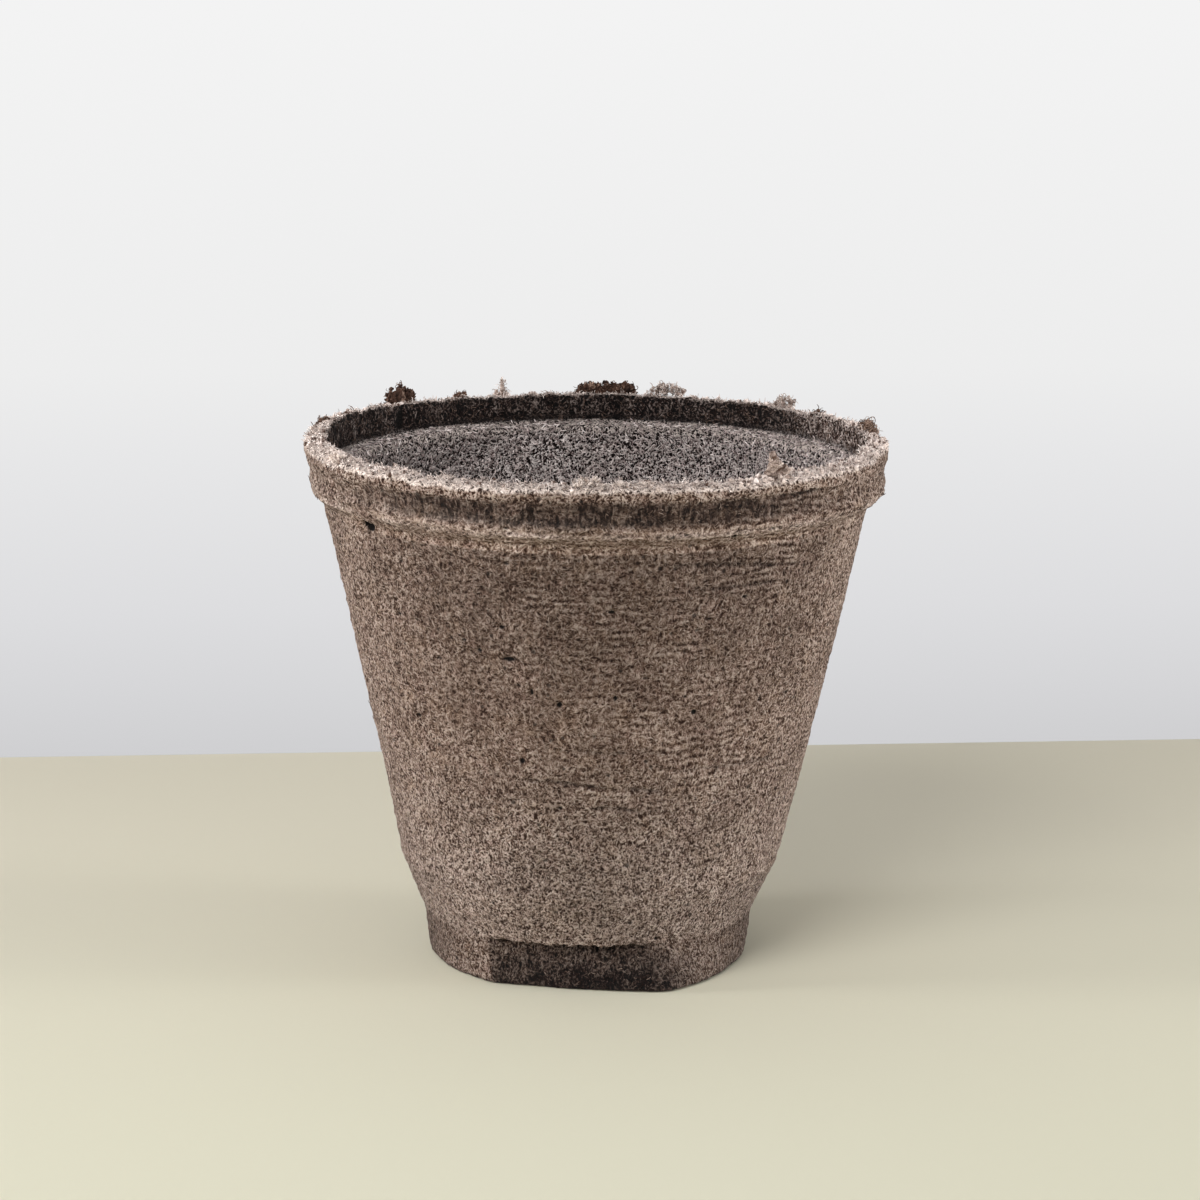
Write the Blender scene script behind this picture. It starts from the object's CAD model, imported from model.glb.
"""Looks of a cow manure pot: a moulded fibre plant pot with torn scraps of fibre on its rim.

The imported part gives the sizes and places. The moulding is one turned surface, roughened and
pitted, and divided into the same sections as the part. Loose fibres lie on it, and torn scraps
stand on the rim. The shapes are worked out in millimetres and made in metres, with +Z up.
"""

import logging
import math
from dataclasses import dataclass, field
from enum import Enum, auto

import bmesh
import bpy
import numpy as np
from mathutils import Euler, Matrix, Vector


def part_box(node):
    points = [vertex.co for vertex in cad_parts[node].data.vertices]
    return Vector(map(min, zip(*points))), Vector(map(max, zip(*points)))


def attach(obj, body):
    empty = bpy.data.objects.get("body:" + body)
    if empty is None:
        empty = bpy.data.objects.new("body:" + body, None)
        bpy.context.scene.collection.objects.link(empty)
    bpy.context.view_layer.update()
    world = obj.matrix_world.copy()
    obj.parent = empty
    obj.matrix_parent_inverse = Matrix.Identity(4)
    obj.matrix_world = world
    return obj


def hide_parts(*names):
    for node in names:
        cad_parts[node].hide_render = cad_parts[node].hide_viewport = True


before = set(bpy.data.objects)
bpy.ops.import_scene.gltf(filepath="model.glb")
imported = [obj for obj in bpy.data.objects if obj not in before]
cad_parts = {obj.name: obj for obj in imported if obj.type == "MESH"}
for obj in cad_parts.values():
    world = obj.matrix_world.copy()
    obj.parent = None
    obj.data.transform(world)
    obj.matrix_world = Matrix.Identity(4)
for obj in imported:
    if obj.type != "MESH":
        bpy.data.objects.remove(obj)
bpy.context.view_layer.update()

LOG = logging.getLogger("manure_pot")
MM = 0.001
BODY = "root"
UNROLLED = "OFBake"
FIBRE_GLOSS = 0.2

Pair = tuple[float, float]
Triple = tuple[float, float, float]
Edges = Pair
Colour = Triple
Stop = tuple[float, Colour]
Lump = tuple[np.ndarray, np.ndarray, float]


def linear(colour: Colour) -> tuple[float, float, float, float]:
    """Turn a colour written as sRGB, 0 to 255, into the linear RGBA that sockets take.

    Args:
        colour: Red, green and blue, each 0 to 255.

    Returns:
        Linear red, green and blue, and an alpha of 1.
    """
    shares = [value / 255.0 for value in colour]
    parts = [s / 12.92 if s <= 0.04045 else ((s + 0.055) / 1.055) ** 2.4 for s in shares]
    return (*parts, 1.0)


def smooth_step(low: float, high: float, values: np.ndarray) -> np.ndarray:
    """Ease values from 0 at low to 1 at high, or the other way round where low is the larger."""
    share = np.clip((values - low) / (high - low), 0.0, 1.0)
    return share * share * (3.0 - 2.0 * share)


def bell(middle: float, width: float, values: np.ndarray) -> np.ndarray:
    """Rise to 1 where values reach a middle, and fall away on both sides of it."""
    return np.exp(-(((values - middle) / width) ** 2))


def unit(vectors: np.ndarray) -> np.ndarray:
    """Scale vectors along the last axis to a length of 1."""
    return vectors / np.maximum(np.linalg.norm(vectors, axis=-1, keepdims=True), 1e-12)


class GradientNoise:
    """Seeded gradient noise in three dimensions. Most values lie between -1 and 1."""

    GAIN = 2.0
    TABLE = 256

    def __init__(self, seed: int) -> None:
        """Draw the table of slopes.

        Args:
            seed: Number that fixes the noise.
        """
        rng = np.random.default_rng(seed)
        self.order = np.tile(rng.permutation(self.TABLE), 2)
        self.slopes = unit(rng.normal(size=(self.TABLE, 3))).astype(np.float32)

    def sample(self, points: np.ndarray, wavelength: float | Triple) -> np.ndarray:
        """Read the noise at points.

        Args:
            points: Array of points, with x, y and z on its last axis.
            wavelength: Size of a lump, in the points' unit, or one size for each axis.

        Returns:
            One value for each point.
        """
        scaled = (points / np.asarray(wavelength)).astype(np.float32)
        cell = np.floor(scaled)
        offset = scaled - cell
        ease = offset**3 * (offset * (offset * 6.0 - 15.0) + 10.0)
        cell = cell.astype(np.int64)
        total = np.zeros(points.shape[:-1], np.float32)
        for corner in np.ndindex(2, 2, 2):
            at = (cell + corner) % self.TABLE
            index = self.order[self.order[self.order[at[..., 0]] + at[..., 1]] + at[..., 2]]
            reach = (self.slopes[index] * (offset - np.asarray(corner, np.float32))).sum(-1)
            shares = np.where(np.asarray(corner, bool), ease, 1.0 - ease)
            total += reach * shares[..., 0] * shares[..., 1] * shares[..., 2]
        return total * self.GAIN


class Wire:
    """A socket that takes part in Python sums. Each sum adds a Math node to its graph."""

    def __init__(self, graph: "Graph", socket: bpy.types.NodeSocket) -> None:
        """Wrap an output socket of a graph."""
        self.graph = graph
        self.socket = socket

    def _math(self, operation: str, *values: "Wire | float") -> "Wire":
        """Add a Math node with these inputs, in order."""
        return self.graph.node("ShaderNodeMath", {"operation": operation}, dict(enumerate(values)))

    def __add__(self, other: "Wire | float") -> "Wire":
        """Sum."""
        return self._math("ADD", self, other)

    __radd__ = __add__

    def __sub__(self, other: "Wire | float") -> "Wire":
        """Difference."""
        return self._math("SUBTRACT", self, other)

    def __rsub__(self, other: "Wire | float") -> "Wire":
        """Difference from a number."""
        return self._math("SUBTRACT", other, self)

    def __mul__(self, other: "Wire | float") -> "Wire":
        """Product."""
        return self._math("MULTIPLY", self, other)

    def __truediv__(self, other: "Wire | float") -> "Wire":
        """Quotient."""
        return self._math("DIVIDE", self, other)

    def sine(self) -> "Wire":
        """Sine of an angle in radians."""
        return self._math("SINE", self)

    def larger(self, other: "Wire | float") -> "Wire":
        """The larger of two values."""
        return self._math("MAXIMUM", self, other)

    def eased(self, low: float, high: float) -> "Wire":
        """Ease from 0 at low to 1 at high."""
        sockets = {"Value": self, "From Min": low, "From Max": high}
        return self.graph.node("ShaderNodeMapRange", {"interpolation_type": "SMOOTHSTEP"}, sockets)

    def beside(self, output: str) -> "Wire":
        """Another output of the same node."""
        return Wire(self.graph, self.graph.find(self.socket.node.outputs, output))


class Graph:
    """The nodes of one material or world, added one at a time."""

    def __init__(self, tree: bpy.types.ShaderNodeTree) -> None:
        """Start from an empty node tree."""
        self.tree = tree
        self.tree.nodes.clear()

    @staticmethod
    def find(sockets: bpy.types.bpy_prop_collection, key: str | int) -> bpy.types.NodeSocket:
        """Find a socket.

        Args:
            sockets: A node's inputs or outputs.
            key: The socket's place, identifier or name.

        Returns:
            The socket.
        """
        if isinstance(key, int):
            return sockets[key]
        named = [socket for socket in sockets if socket.identifier == key]
        return named[0] if named else sockets[key]

    def node(
        self, kind: str, settings: dict | None = None, sockets: dict | None = None, output: str | int = 0
    ) -> Wire | None:
        """Add a node.

        Args:
            kind: The node's type.
            settings: Properties of the node, which are set first. A ramp's stops are under "stops".
            sockets: Values or wires for its inputs, by place, identifier or name.
            output: The output that is returned.

        Returns:
            A wire from that output, or None where the node has no outputs.
        """
        made = self.tree.nodes.new(kind)
        for name, value in (settings or {}).items():
            if name == "stops":
                self._set_stops(made.color_ramp, value)
            else:
                setattr(made, name, value)
        for key, value in (sockets or {}).items():
            socket = self.find(made.inputs, key)
            if isinstance(value, Wire):
                self.tree.links.new(value.socket, socket)
            else:
                socket.default_value = value
        return Wire(self, self.find(made.outputs, output)) if made.outputs else None

    @staticmethod
    def _set_stops(ramp: bpy.types.ColorRamp, stops: tuple[Stop, ...]) -> None:
        """Give a ramp its stops.

        Args:
            ramp: The ramp.
            stops: Place and colour of each stop, in order.
        """
        while len(ramp.elements) < len(stops):
            ramp.elements.new(1.0)
        for element, (position, colour) in zip(ramp.elements, stops):
            element.position = position
            element.color = linear(colour)

    def millimetres(self) -> Wire:
        """Places on the object, in millimetres."""
        place = self.node("ShaderNodeTexCoord", output="Object")
        return self.stretched(place, (1.0 / MM,) * 3)

    def stretched(self, vector: Wire, factors: Triple) -> Wire:
        """Multiply a vector by a factor for each axis."""
        return self.node("ShaderNodeVectorMath", {"operation": "MULTIPLY"}, {0: vector, 1: factors})

    def wandered(self, vector: Wire, size: float, reach: float) -> Wire:
        """Bend a vector's space with noise.

        Args:
            vector: The places to bend.
            size: Wavelength of the bends.
            reach: How far a place moves at most.

        Returns:
            The bent places.
        """
        drift = self.noise(vector, size, 1.0).beside("Color")
        sockets = {0: drift, 1: (2.0 * reach,) * 3, 2: (-reach,) * 3}
        centred = self.node("ShaderNodeVectorMath", {"operation": "MULTIPLY_ADD"}, sockets)
        return self.node("ShaderNodeVectorMath", {"operation": "ADD"}, {0: vector, 1: centred})

    def noise(
        self, vector: Wire, size: float | Triple, detail: float, rough: float = 0.55, twist: float = 0.0
    ) -> Wire:
        """Add noise.

        Args:
            vector: The places where it is read.
            size: Size of a lump, in the vector's unit, or one size for each axis.
            detail: Number of finer layers.
            rough: How strong the finer layers are.
            twist: How far the lumps are bent.

        Returns:
            The noise, from 0 to 1.
        """
        if isinstance(size, tuple):
            vector = self.stretched(vector, tuple(1.0 / part for part in size))
            size = 1.0
        sockets = {
            "Vector": vector,
            "Scale": 1.0 / size,
            "Detail": detail,
            "Roughness": rough,
            "Distortion": twist,
        }
        return self.node("ShaderNodeTexNoise", {"noise_dimensions": "3D"}, sockets, "Fac")

    def attribute(self, name: str) -> Wire:
        """A value that the mesh holds at its points."""
        return self.node("ShaderNodeAttribute", {"attribute_name": name}, output="Fac")

    def ramp(self, value: Wire, stops: tuple[Stop, ...]) -> Wire:
        """A colour from a ramp."""
        return self.node("ShaderNodeValToRGB", {"stops": stops}, {"Fac": value}, "Color")

    def mixed(
        self, share: Wire | float, first: Wire | Colour, second: Wire | Colour, blend: str = "MIX"
    ) -> Wire:
        """Mix two colours.

        Args:
            share: How much of the second colour there is.
            first: A wire, or a colour as sRGB.
            second: A wire, or a colour as sRGB.
            blend: Kind of mix.

        Returns:
            The mixed colour.
        """
        ends = [end if isinstance(end, Wire) else linear(end) for end in (first, second)]
        settings = {"data_type": "RGBA", "blend_type": blend}
        sockets = {"Factor_Float": share, "A_Color": ends[0], "B_Color": ends[1]}
        return self.node("ShaderNodeMix", settings, sockets, "Result_Color")

    def finish(self, surface: Wire) -> None:
        """Send a shader to the surface output."""
        self.node("ShaderNodeOutputMaterial", {}, {"Surface": surface})

    def finish_fibre(self, colour: Wire, roughness: Wire, height: Wire, bump: dict[str, float]) -> None:
        """Send a dull shader with a bump to the surface output.

        Args:
            colour: Its base colour.
            roughness: Its roughness.
            height: The height that the bump follows.
            bump: The bump's other sockets.
        """
        sockets = {
            "Base Color": colour,
            "Roughness": roughness,
            "Specular IOR Level": FIBRE_GLOSS,
            "Normal": self.node("ShaderNodeBump", sockets={**bump, "Height": height}),
        }
        self.finish(self.node("ShaderNodeBsdfPrincipled", sockets=sockets))


def new_material(name: str) -> tuple[bpy.types.Material, Graph]:
    """Make a material with an empty graph.

    Args:
        name: Name of the material.

    Returns:
        The material and its graph.
    """
    material = bpy.data.materials.new(name)
    material.use_nodes = True
    return material, Graph(material.node_tree)


@dataclass(frozen=True)
class FibrePalette:
    """Colours of felted fibre, as sRGB: the gaps, the body and the strands on top."""

    gap: Colour
    under: Colour
    body: Colour
    strand: Colour

    def stops(self) -> tuple[Stop, ...]:
        """The palette as the stops of a ramp, from the deepest gap to the top strand."""
        return ((0.10, self.gap), (0.34, self.under), (0.50, self.body), (0.78, self.strand))


@dataclass(frozen=True)
class Weight:
    """How strong a layer of the fibre is, and what greyer and crisper fibre add to it."""

    plain: float
    greyer: float
    crisper: float

    def at(self, grey: Wire, crisp: Wire) -> Wire:
        """The weight where the fibre is as grey and as crisp as this."""
        return grey * self.greyer + crisp * self.crisper + self.plain


@dataclass(frozen=True)
class MouldedFinish:
    """Dry moulded fibre: felted strands, dark gaps and pits, faint mould lines and patches of colour.

    The mesh says where it is torn and pale, rubbed dark, stained, greyer, crisper, pitted or lined.
    Sizes are millimetres. A pair of edges says where a value is 0 and where it is 1.
    """

    outside: FibrePalette = FibrePalette((44, 25, 16), (106, 85, 73), (140, 119, 108), (186, 169, 158))
    inside: FibrePalette = FibrePalette((18, 6, 4), (88, 67, 62), (200, 179, 174), (255, 243, 239))
    torn: Colour = (230, 214, 205)
    pit: Colour = (12, 8, 6)
    shade: Colour = (222, 219, 217)
    tan: Colour = (150, 132, 104)
    rose: Colour = (142, 120, 120)
    rubbed: Colour = (74, 61, 55)
    stain: Colour = (54, 32, 23)
    level: float = 0.46
    grey_level: float = 0.02
    crisp_level: float = 0.015
    felt_size: float = 1.1
    felt_weight: float = 0.7
    fine_size: float = 0.42
    fine_weight: Weight = Weight(0.5, 2.4, 1.0)
    strand_size: Triple = (1.0, 0.34, 1.0)
    strand_turns: tuple[float, ...] = (8.0, 58.0, 97.0, 141.0)
    strand_middle: float = 0.605
    strand_weight: Weight = Weight(2.0, 5.0, 1.2)
    bends: Pair = (1.5, 0.5)
    grey_closer: float = 0.3
    round_radius: float = 45.0
    sheet_level: float = 0.37
    gap_size: Triple = (1.2, 1.2, 0.85)
    gap_edges: Edges = (0.46, 0.34)
    gap_weight: float = 0.20
    cluster_size: float = 4.5
    cluster_edges: Edges = (0.36, 0.62)
    row_pitch: float = 1.4
    row_bends: Pair = (6.0, 2.5)
    row_break_size: float = 3.5
    row_break_edges: Edges = (0.42, 0.62)
    row_weight: float = 0.20
    streak_size: Triple = (0.6, 0.6, 2.0)
    streak_edges: Edges = (0.62, 0.40)
    pit_spacing: float = 2.5
    pit_draw_edges: Edges = (0.30, 1.0)
    pit_reach: float = 0.20
    pit_ragged: float = 0.16
    pit_softness: float = 0.07
    pit_share: float = 0.7
    hollow_edges: Edges = (0.35, 0.85)
    pit_depth: float = 0.8
    patch_size: float = 9.0
    patch_edges: Edges = (0.3, 0.7)
    tint_size: float = 4.05
    tan_edges: Edges = (0.5, 0.72)
    rose_edges: Edges = (0.5, 0.3)
    tint_share: float = 0.30
    roughness: float = 0.93
    bump_depth: float = 0.00036
    bump_strength: float = 0.95

    def material(self, name: str) -> bpy.types.Material:
        """Make the finish.

        Args:
            name: Name of the material.

        Returns:
            The material.
        """
        material, graph = new_material(name)
        place = graph.millimetres()
        felt = graph.noise(place, self.felt_size, 2.0, 0.6, 0.3)
        fine = graph.noise(place, self.fine_size, 1.0, 0.6)
        grey = graph.attribute("grey")
        relief = self._relief(graph, place, felt, fine, grey)
        pits = (graph.attribute("pit") + (felt - 0.5) * self.felt_weight).eased(*self.hollow_edges)
        pits = pits.larger(self._pits(graph, place, fine) * self.pit_share)
        colour = self._colour(graph, place, relief, grey)
        colour = graph.mixed(pits, colour, self.pit)
        roughness = self.roughness + (1.0 - relief) * 0.05
        bump = {"Strength": self.bump_strength, "Distance": self.bump_depth}
        graph.finish_fibre(colour, roughness, relief - pits * self.pit_depth, bump)
        return material

    def _relief(self, graph: Graph, place: Wire, felt: Wire, fine: Wire, grey: Wire) -> Wire:
        """Pile up the layers of the felt.

        Args:
            graph: The material's graph.
            place: Places on the object.
            felt: Noise of the felt's lumps.
            fine: Noise of its finest grain.
            grey: Where the fibre is greyer.

        Returns:
            The height of the fibre, from about 0 in a gap to about 1 on a strand.
        """
        sheet = self._sheet(graph)
        crisp = graph.attribute("crisp")
        scale = {0: sheet, "Scale": 1.0 + grey * self.grey_closer}
        closer = graph.node("ShaderNodeVectorMath", {"operation": "SCALE"}, scale)
        strands = self._strands(graph, graph.wandered(closer, *self.bends))
        grain = (felt - 0.5) * self.felt_weight + (fine - 0.5) * self.fine_weight.at(grey, crisp)
        grain = grain + (strands - self.strand_middle) * self.strand_weight.at(grey, crisp)
        relief = self.level + crisp * self.crisp_level + grey * self.grey_level + grain
        relief = relief - self._gaps(graph, place) * self.gap_weight
        return relief + self._mould_rows(graph, place, sheet)

    def _colour(self, graph: Graph, place: Wire, relief: Wire, grey: Wire) -> Wire:
        """Colour the fibre by its height, and then where the mesh says that it is worn.

        Args:
            graph: The material's graph.
            place: Places on the object.
            relief: Height of the fibre.
            grey: Where the fibre is greyer.

        Returns:
            The colour, without the pits.
        """
        ramps = [graph.ramp(relief, palette.stops()) for palette in (self.outside, self.inside)]
        colour = self._patches(graph, place, graph.mixed(grey, *ramps), grey)
        streaks = graph.noise(place, self.streak_size, 1.0).eased(*self.streak_edges)
        rubbed = graph.attribute("dark") * (streaks * 0.35 + 0.70)
        colour = graph.mixed(rubbed, colour, self.rubbed, "MULTIPLY")
        stained = graph.attribute("stain") * (1.25 - relief * 0.42)
        colour = graph.mixed(stained, colour, self.stain, "MULTIPLY")
        pale = graph.attribute("pale") * (relief * 1.5 + 0.1).larger(0.0)
        return graph.mixed(pale, colour, self.torn)

    def _sheet(self, graph: Graph) -> Wire:
        """Lay the surface flat.

        Args:
            graph: The material's graph.

        Returns:
            The way round the pot and the way along its outline, in millimetres.
        """
        unrolled = graph.node("ShaderNodeUVMap", {"uv_map": UNROLLED})
        turns = graph.node("ShaderNodeSeparateXYZ", {}, {"Vector": unrolled}, "X")
        around = turns * (math.tau * self.round_radius)
        sockets = {"X": around, "Y": graph.attribute("along"), "Z": self.sheet_level}
        return graph.node("ShaderNodeCombineXYZ", {}, sockets)

    def _strands(self, graph: Graph, sheet: Wire) -> Wire:
        """Lay strands across each other.

        Args:
            graph: The material's graph.
            sheet: The surface laid flat.

        Returns:
            The highest of the layers.
        """
        top = None
        for turn in self.strand_turns:
            sockets = {"Vector": sheet, "Angle": math.radians(turn)}
            turned = graph.node("ShaderNodeVectorRotate", {"rotation_type": "Z_AXIS"}, sockets)
            layer = graph.noise(turned, self.strand_size, 1.0)
            top = top.larger(layer) if top else layer
        return top

    def _mould_rows(self, graph: Graph, place: Wire, sheet: Wire) -> Wire:
        """Draw the faint rows that the mould left, where the mesh says so.

        Args:
            graph: The material's graph.
            place: Places on the object.
            sheet: The surface laid flat.

        Returns:
            The height of the rows, which break off here and there.
        """
        size, reach = self.row_bends
        up = graph.node("ShaderNodeSeparateXYZ", {}, {"Vector": sheet}, "Y")
        wave = ((up + graph.noise(place, size, 1.0) * reach) * (math.tau / self.row_pitch)).sine()
        whole = graph.noise(place, self.row_break_size, 1.0).eased(*self.row_break_edges)
        return wave * graph.attribute("rows") * whole * self.row_weight

    def _gaps(self, graph: Graph, place: Wire) -> Wire:
        """Dark gaps between the strands, which come in clusters."""
        lumps = graph.noise(place, self.gap_size, 2.0, 0.6, 0.6).eased(*self.gap_edges)
        return lumps * (graph.noise(place, self.cluster_size, 2.0).eased(*self.cluster_edges) * 0.8 + 0.3)

    def _pits(self, graph: Graph, place: Wire, fine: Wire) -> Wire:
        """Press dark pits of uneven size, with most cells left whole.

        Args:
            graph: The material's graph.
            place: Places on the object.
            fine: Noise that makes their edges ragged.

        Returns:
            The pits.
        """
        sockets = {"Vector": place, "Scale": 1.0 / self.pit_spacing, "Randomness": 1.0}
        cells = graph.node("ShaderNodeTexVoronoi", {"feature": "F1"}, sockets, "Distance")
        draw = graph.node("ShaderNodeSeparateColor", {}, {"Color": cells.beside("Color")}, "Red")
        reach = draw.eased(*self.pit_draw_edges) * self.pit_reach
        return (reach - cells + (fine - 0.5) * self.pit_ragged).eased(0.0, self.pit_softness)

    def _patches(self, graph: Graph, place: Wire, colour: Wire, grey: Wire) -> Wire:
        """Vary a colour in broad patches, and with tan and rose tints.

        Args:
            graph: The material's graph.
            place: Places on the object.
            colour: The colour.
            grey: Where the fibre is greyer, and has no tan.

        Returns:
            The varied colour.
        """
        broad = graph.noise(place, self.patch_size, 3.0).eased(*self.patch_edges)
        colour = graph.mixed(broad, graph.mixed(1.0, colour, self.shade, "MULTIPLY"), colour)
        tint = graph.noise(place, self.tint_size, 2.0)
        warm = tint.eased(*self.tan_edges) * self.tint_share * (1.0 - grey)
        cool = tint.eased(*self.rose_edges) * self.tint_share
        colour = graph.mixed(warm, colour, self.tan, "SOFT_LIGHT")
        return graph.mixed(cool, colour, self.rose, "SOFT_LIGHT")


@dataclass(frozen=True)
class StrandFinish:
    """Loose strands and crumbs, from deep to pale by the tone that the mesh holds."""

    deep: Colour
    middle: Colour
    pale: Colour
    roughness: float = 0.9
    grain_size: float = 0.5
    bump_depth: float = 0.00015

    def material(self, name: str) -> bpy.types.Material:
        """Make the finish.

        Args:
            name: Name of the material.

        Returns:
            The material.
        """
        material, graph = new_material(name)
        grain = graph.noise(graph.millimetres(), self.grain_size, 2.0)
        tone = graph.attribute("tone") + (grain - 0.5) * 0.6
        colour = graph.ramp(tone, ((0.0, self.deep), (0.5, self.middle), (1.0, self.pale)))
        roughness = self.roughness + (grain - 0.5) * 0.1
        graph.finish_fibre(colour, roughness, grain, {"Distance": self.bump_depth})
        return material


@dataclass(frozen=True)
class PotSizes:
    """Sizes of the moulding in millimetres. Those with no value of their own come from the part."""

    rim_radius: float
    rim_height: float
    wall_top_radius: float
    wall_top: float
    shoulder_radius: float
    shoulder_top: float
    floor_radius: float
    floor_top: float
    shell: float = 4.1
    wall_across: float = 4.2
    band_depth: float = 4.6
    foot_top_radius: float = 31.0
    foot_height: float = 8.9
    foot_bottom_radius: float = 29.9
    flat_distance: float = 26.8
    flat_turn: float = 3.0
    flat_count: int = 3
    hole_radius: float = 5.0

    @classmethod
    def from_frame(cls) -> "PotSizes":
        """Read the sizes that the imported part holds.

        Returns:
            The sizes.
        """
        collar_low, collar_high = (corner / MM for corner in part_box("rim_collar"))
        wall_low, wall_high = (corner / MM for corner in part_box("side_wall"))
        foot_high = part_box("foot")[1] / MM
        floor_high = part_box("base_floor")[1] / MM
        return cls(
            rim_radius=collar_high.x,
            rim_height=collar_high.z,
            wall_top_radius=wall_high.x,
            wall_top=(collar_low.z + wall_high.z) / 2,
            shoulder_radius=foot_high.x,
            shoulder_top=(foot_high.z + wall_low.z) / 2,
            floor_radius=floor_high.x,
            floor_top=floor_high.z,
        )


class Zone(Enum):
    """Zones of the turned outline, in order from the drain hole outwards and round."""

    FLOOR_UNDERSIDE = auto()
    FOOT_UNDERSIDE = auto()
    FOOT = auto()
    SHOULDER = auto()
    WALL = auto()
    COLLAR = auto()
    CROWN = auto()
    BAND = auto()
    LEDGE = auto()
    THROAT = auto()
    INNER_WALL = auto()
    INNER_FOOT = auto()
    FLOOR = auto()
    HOLE = auto()


INNER_SURFACE = (Zone.BAND, Zone.LEDGE, Zone.THROAT, Zone.INNER_WALL, Zone.INNER_FOOT)


@dataclass(frozen=True)
class Corner:
    """A corner of the outline, and the zone that starts there with its spacing of rows."""

    radius: float
    height: float
    rounding: float
    zone: Zone
    spacing: float


@dataclass
class OutlineRows:
    """Rows of the outline: places, outward directions, zones and length so far."""

    radius: np.ndarray
    height: np.ndarray
    outward: np.ndarray
    upward: np.ndarray
    zone: np.ndarray
    along: np.ndarray

    def on(self, *zones: Zone) -> np.ndarray:
        """Say which rows lie on some zones."""
        return np.isin(self.zone, [zone.value for zone in zones])


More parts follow.
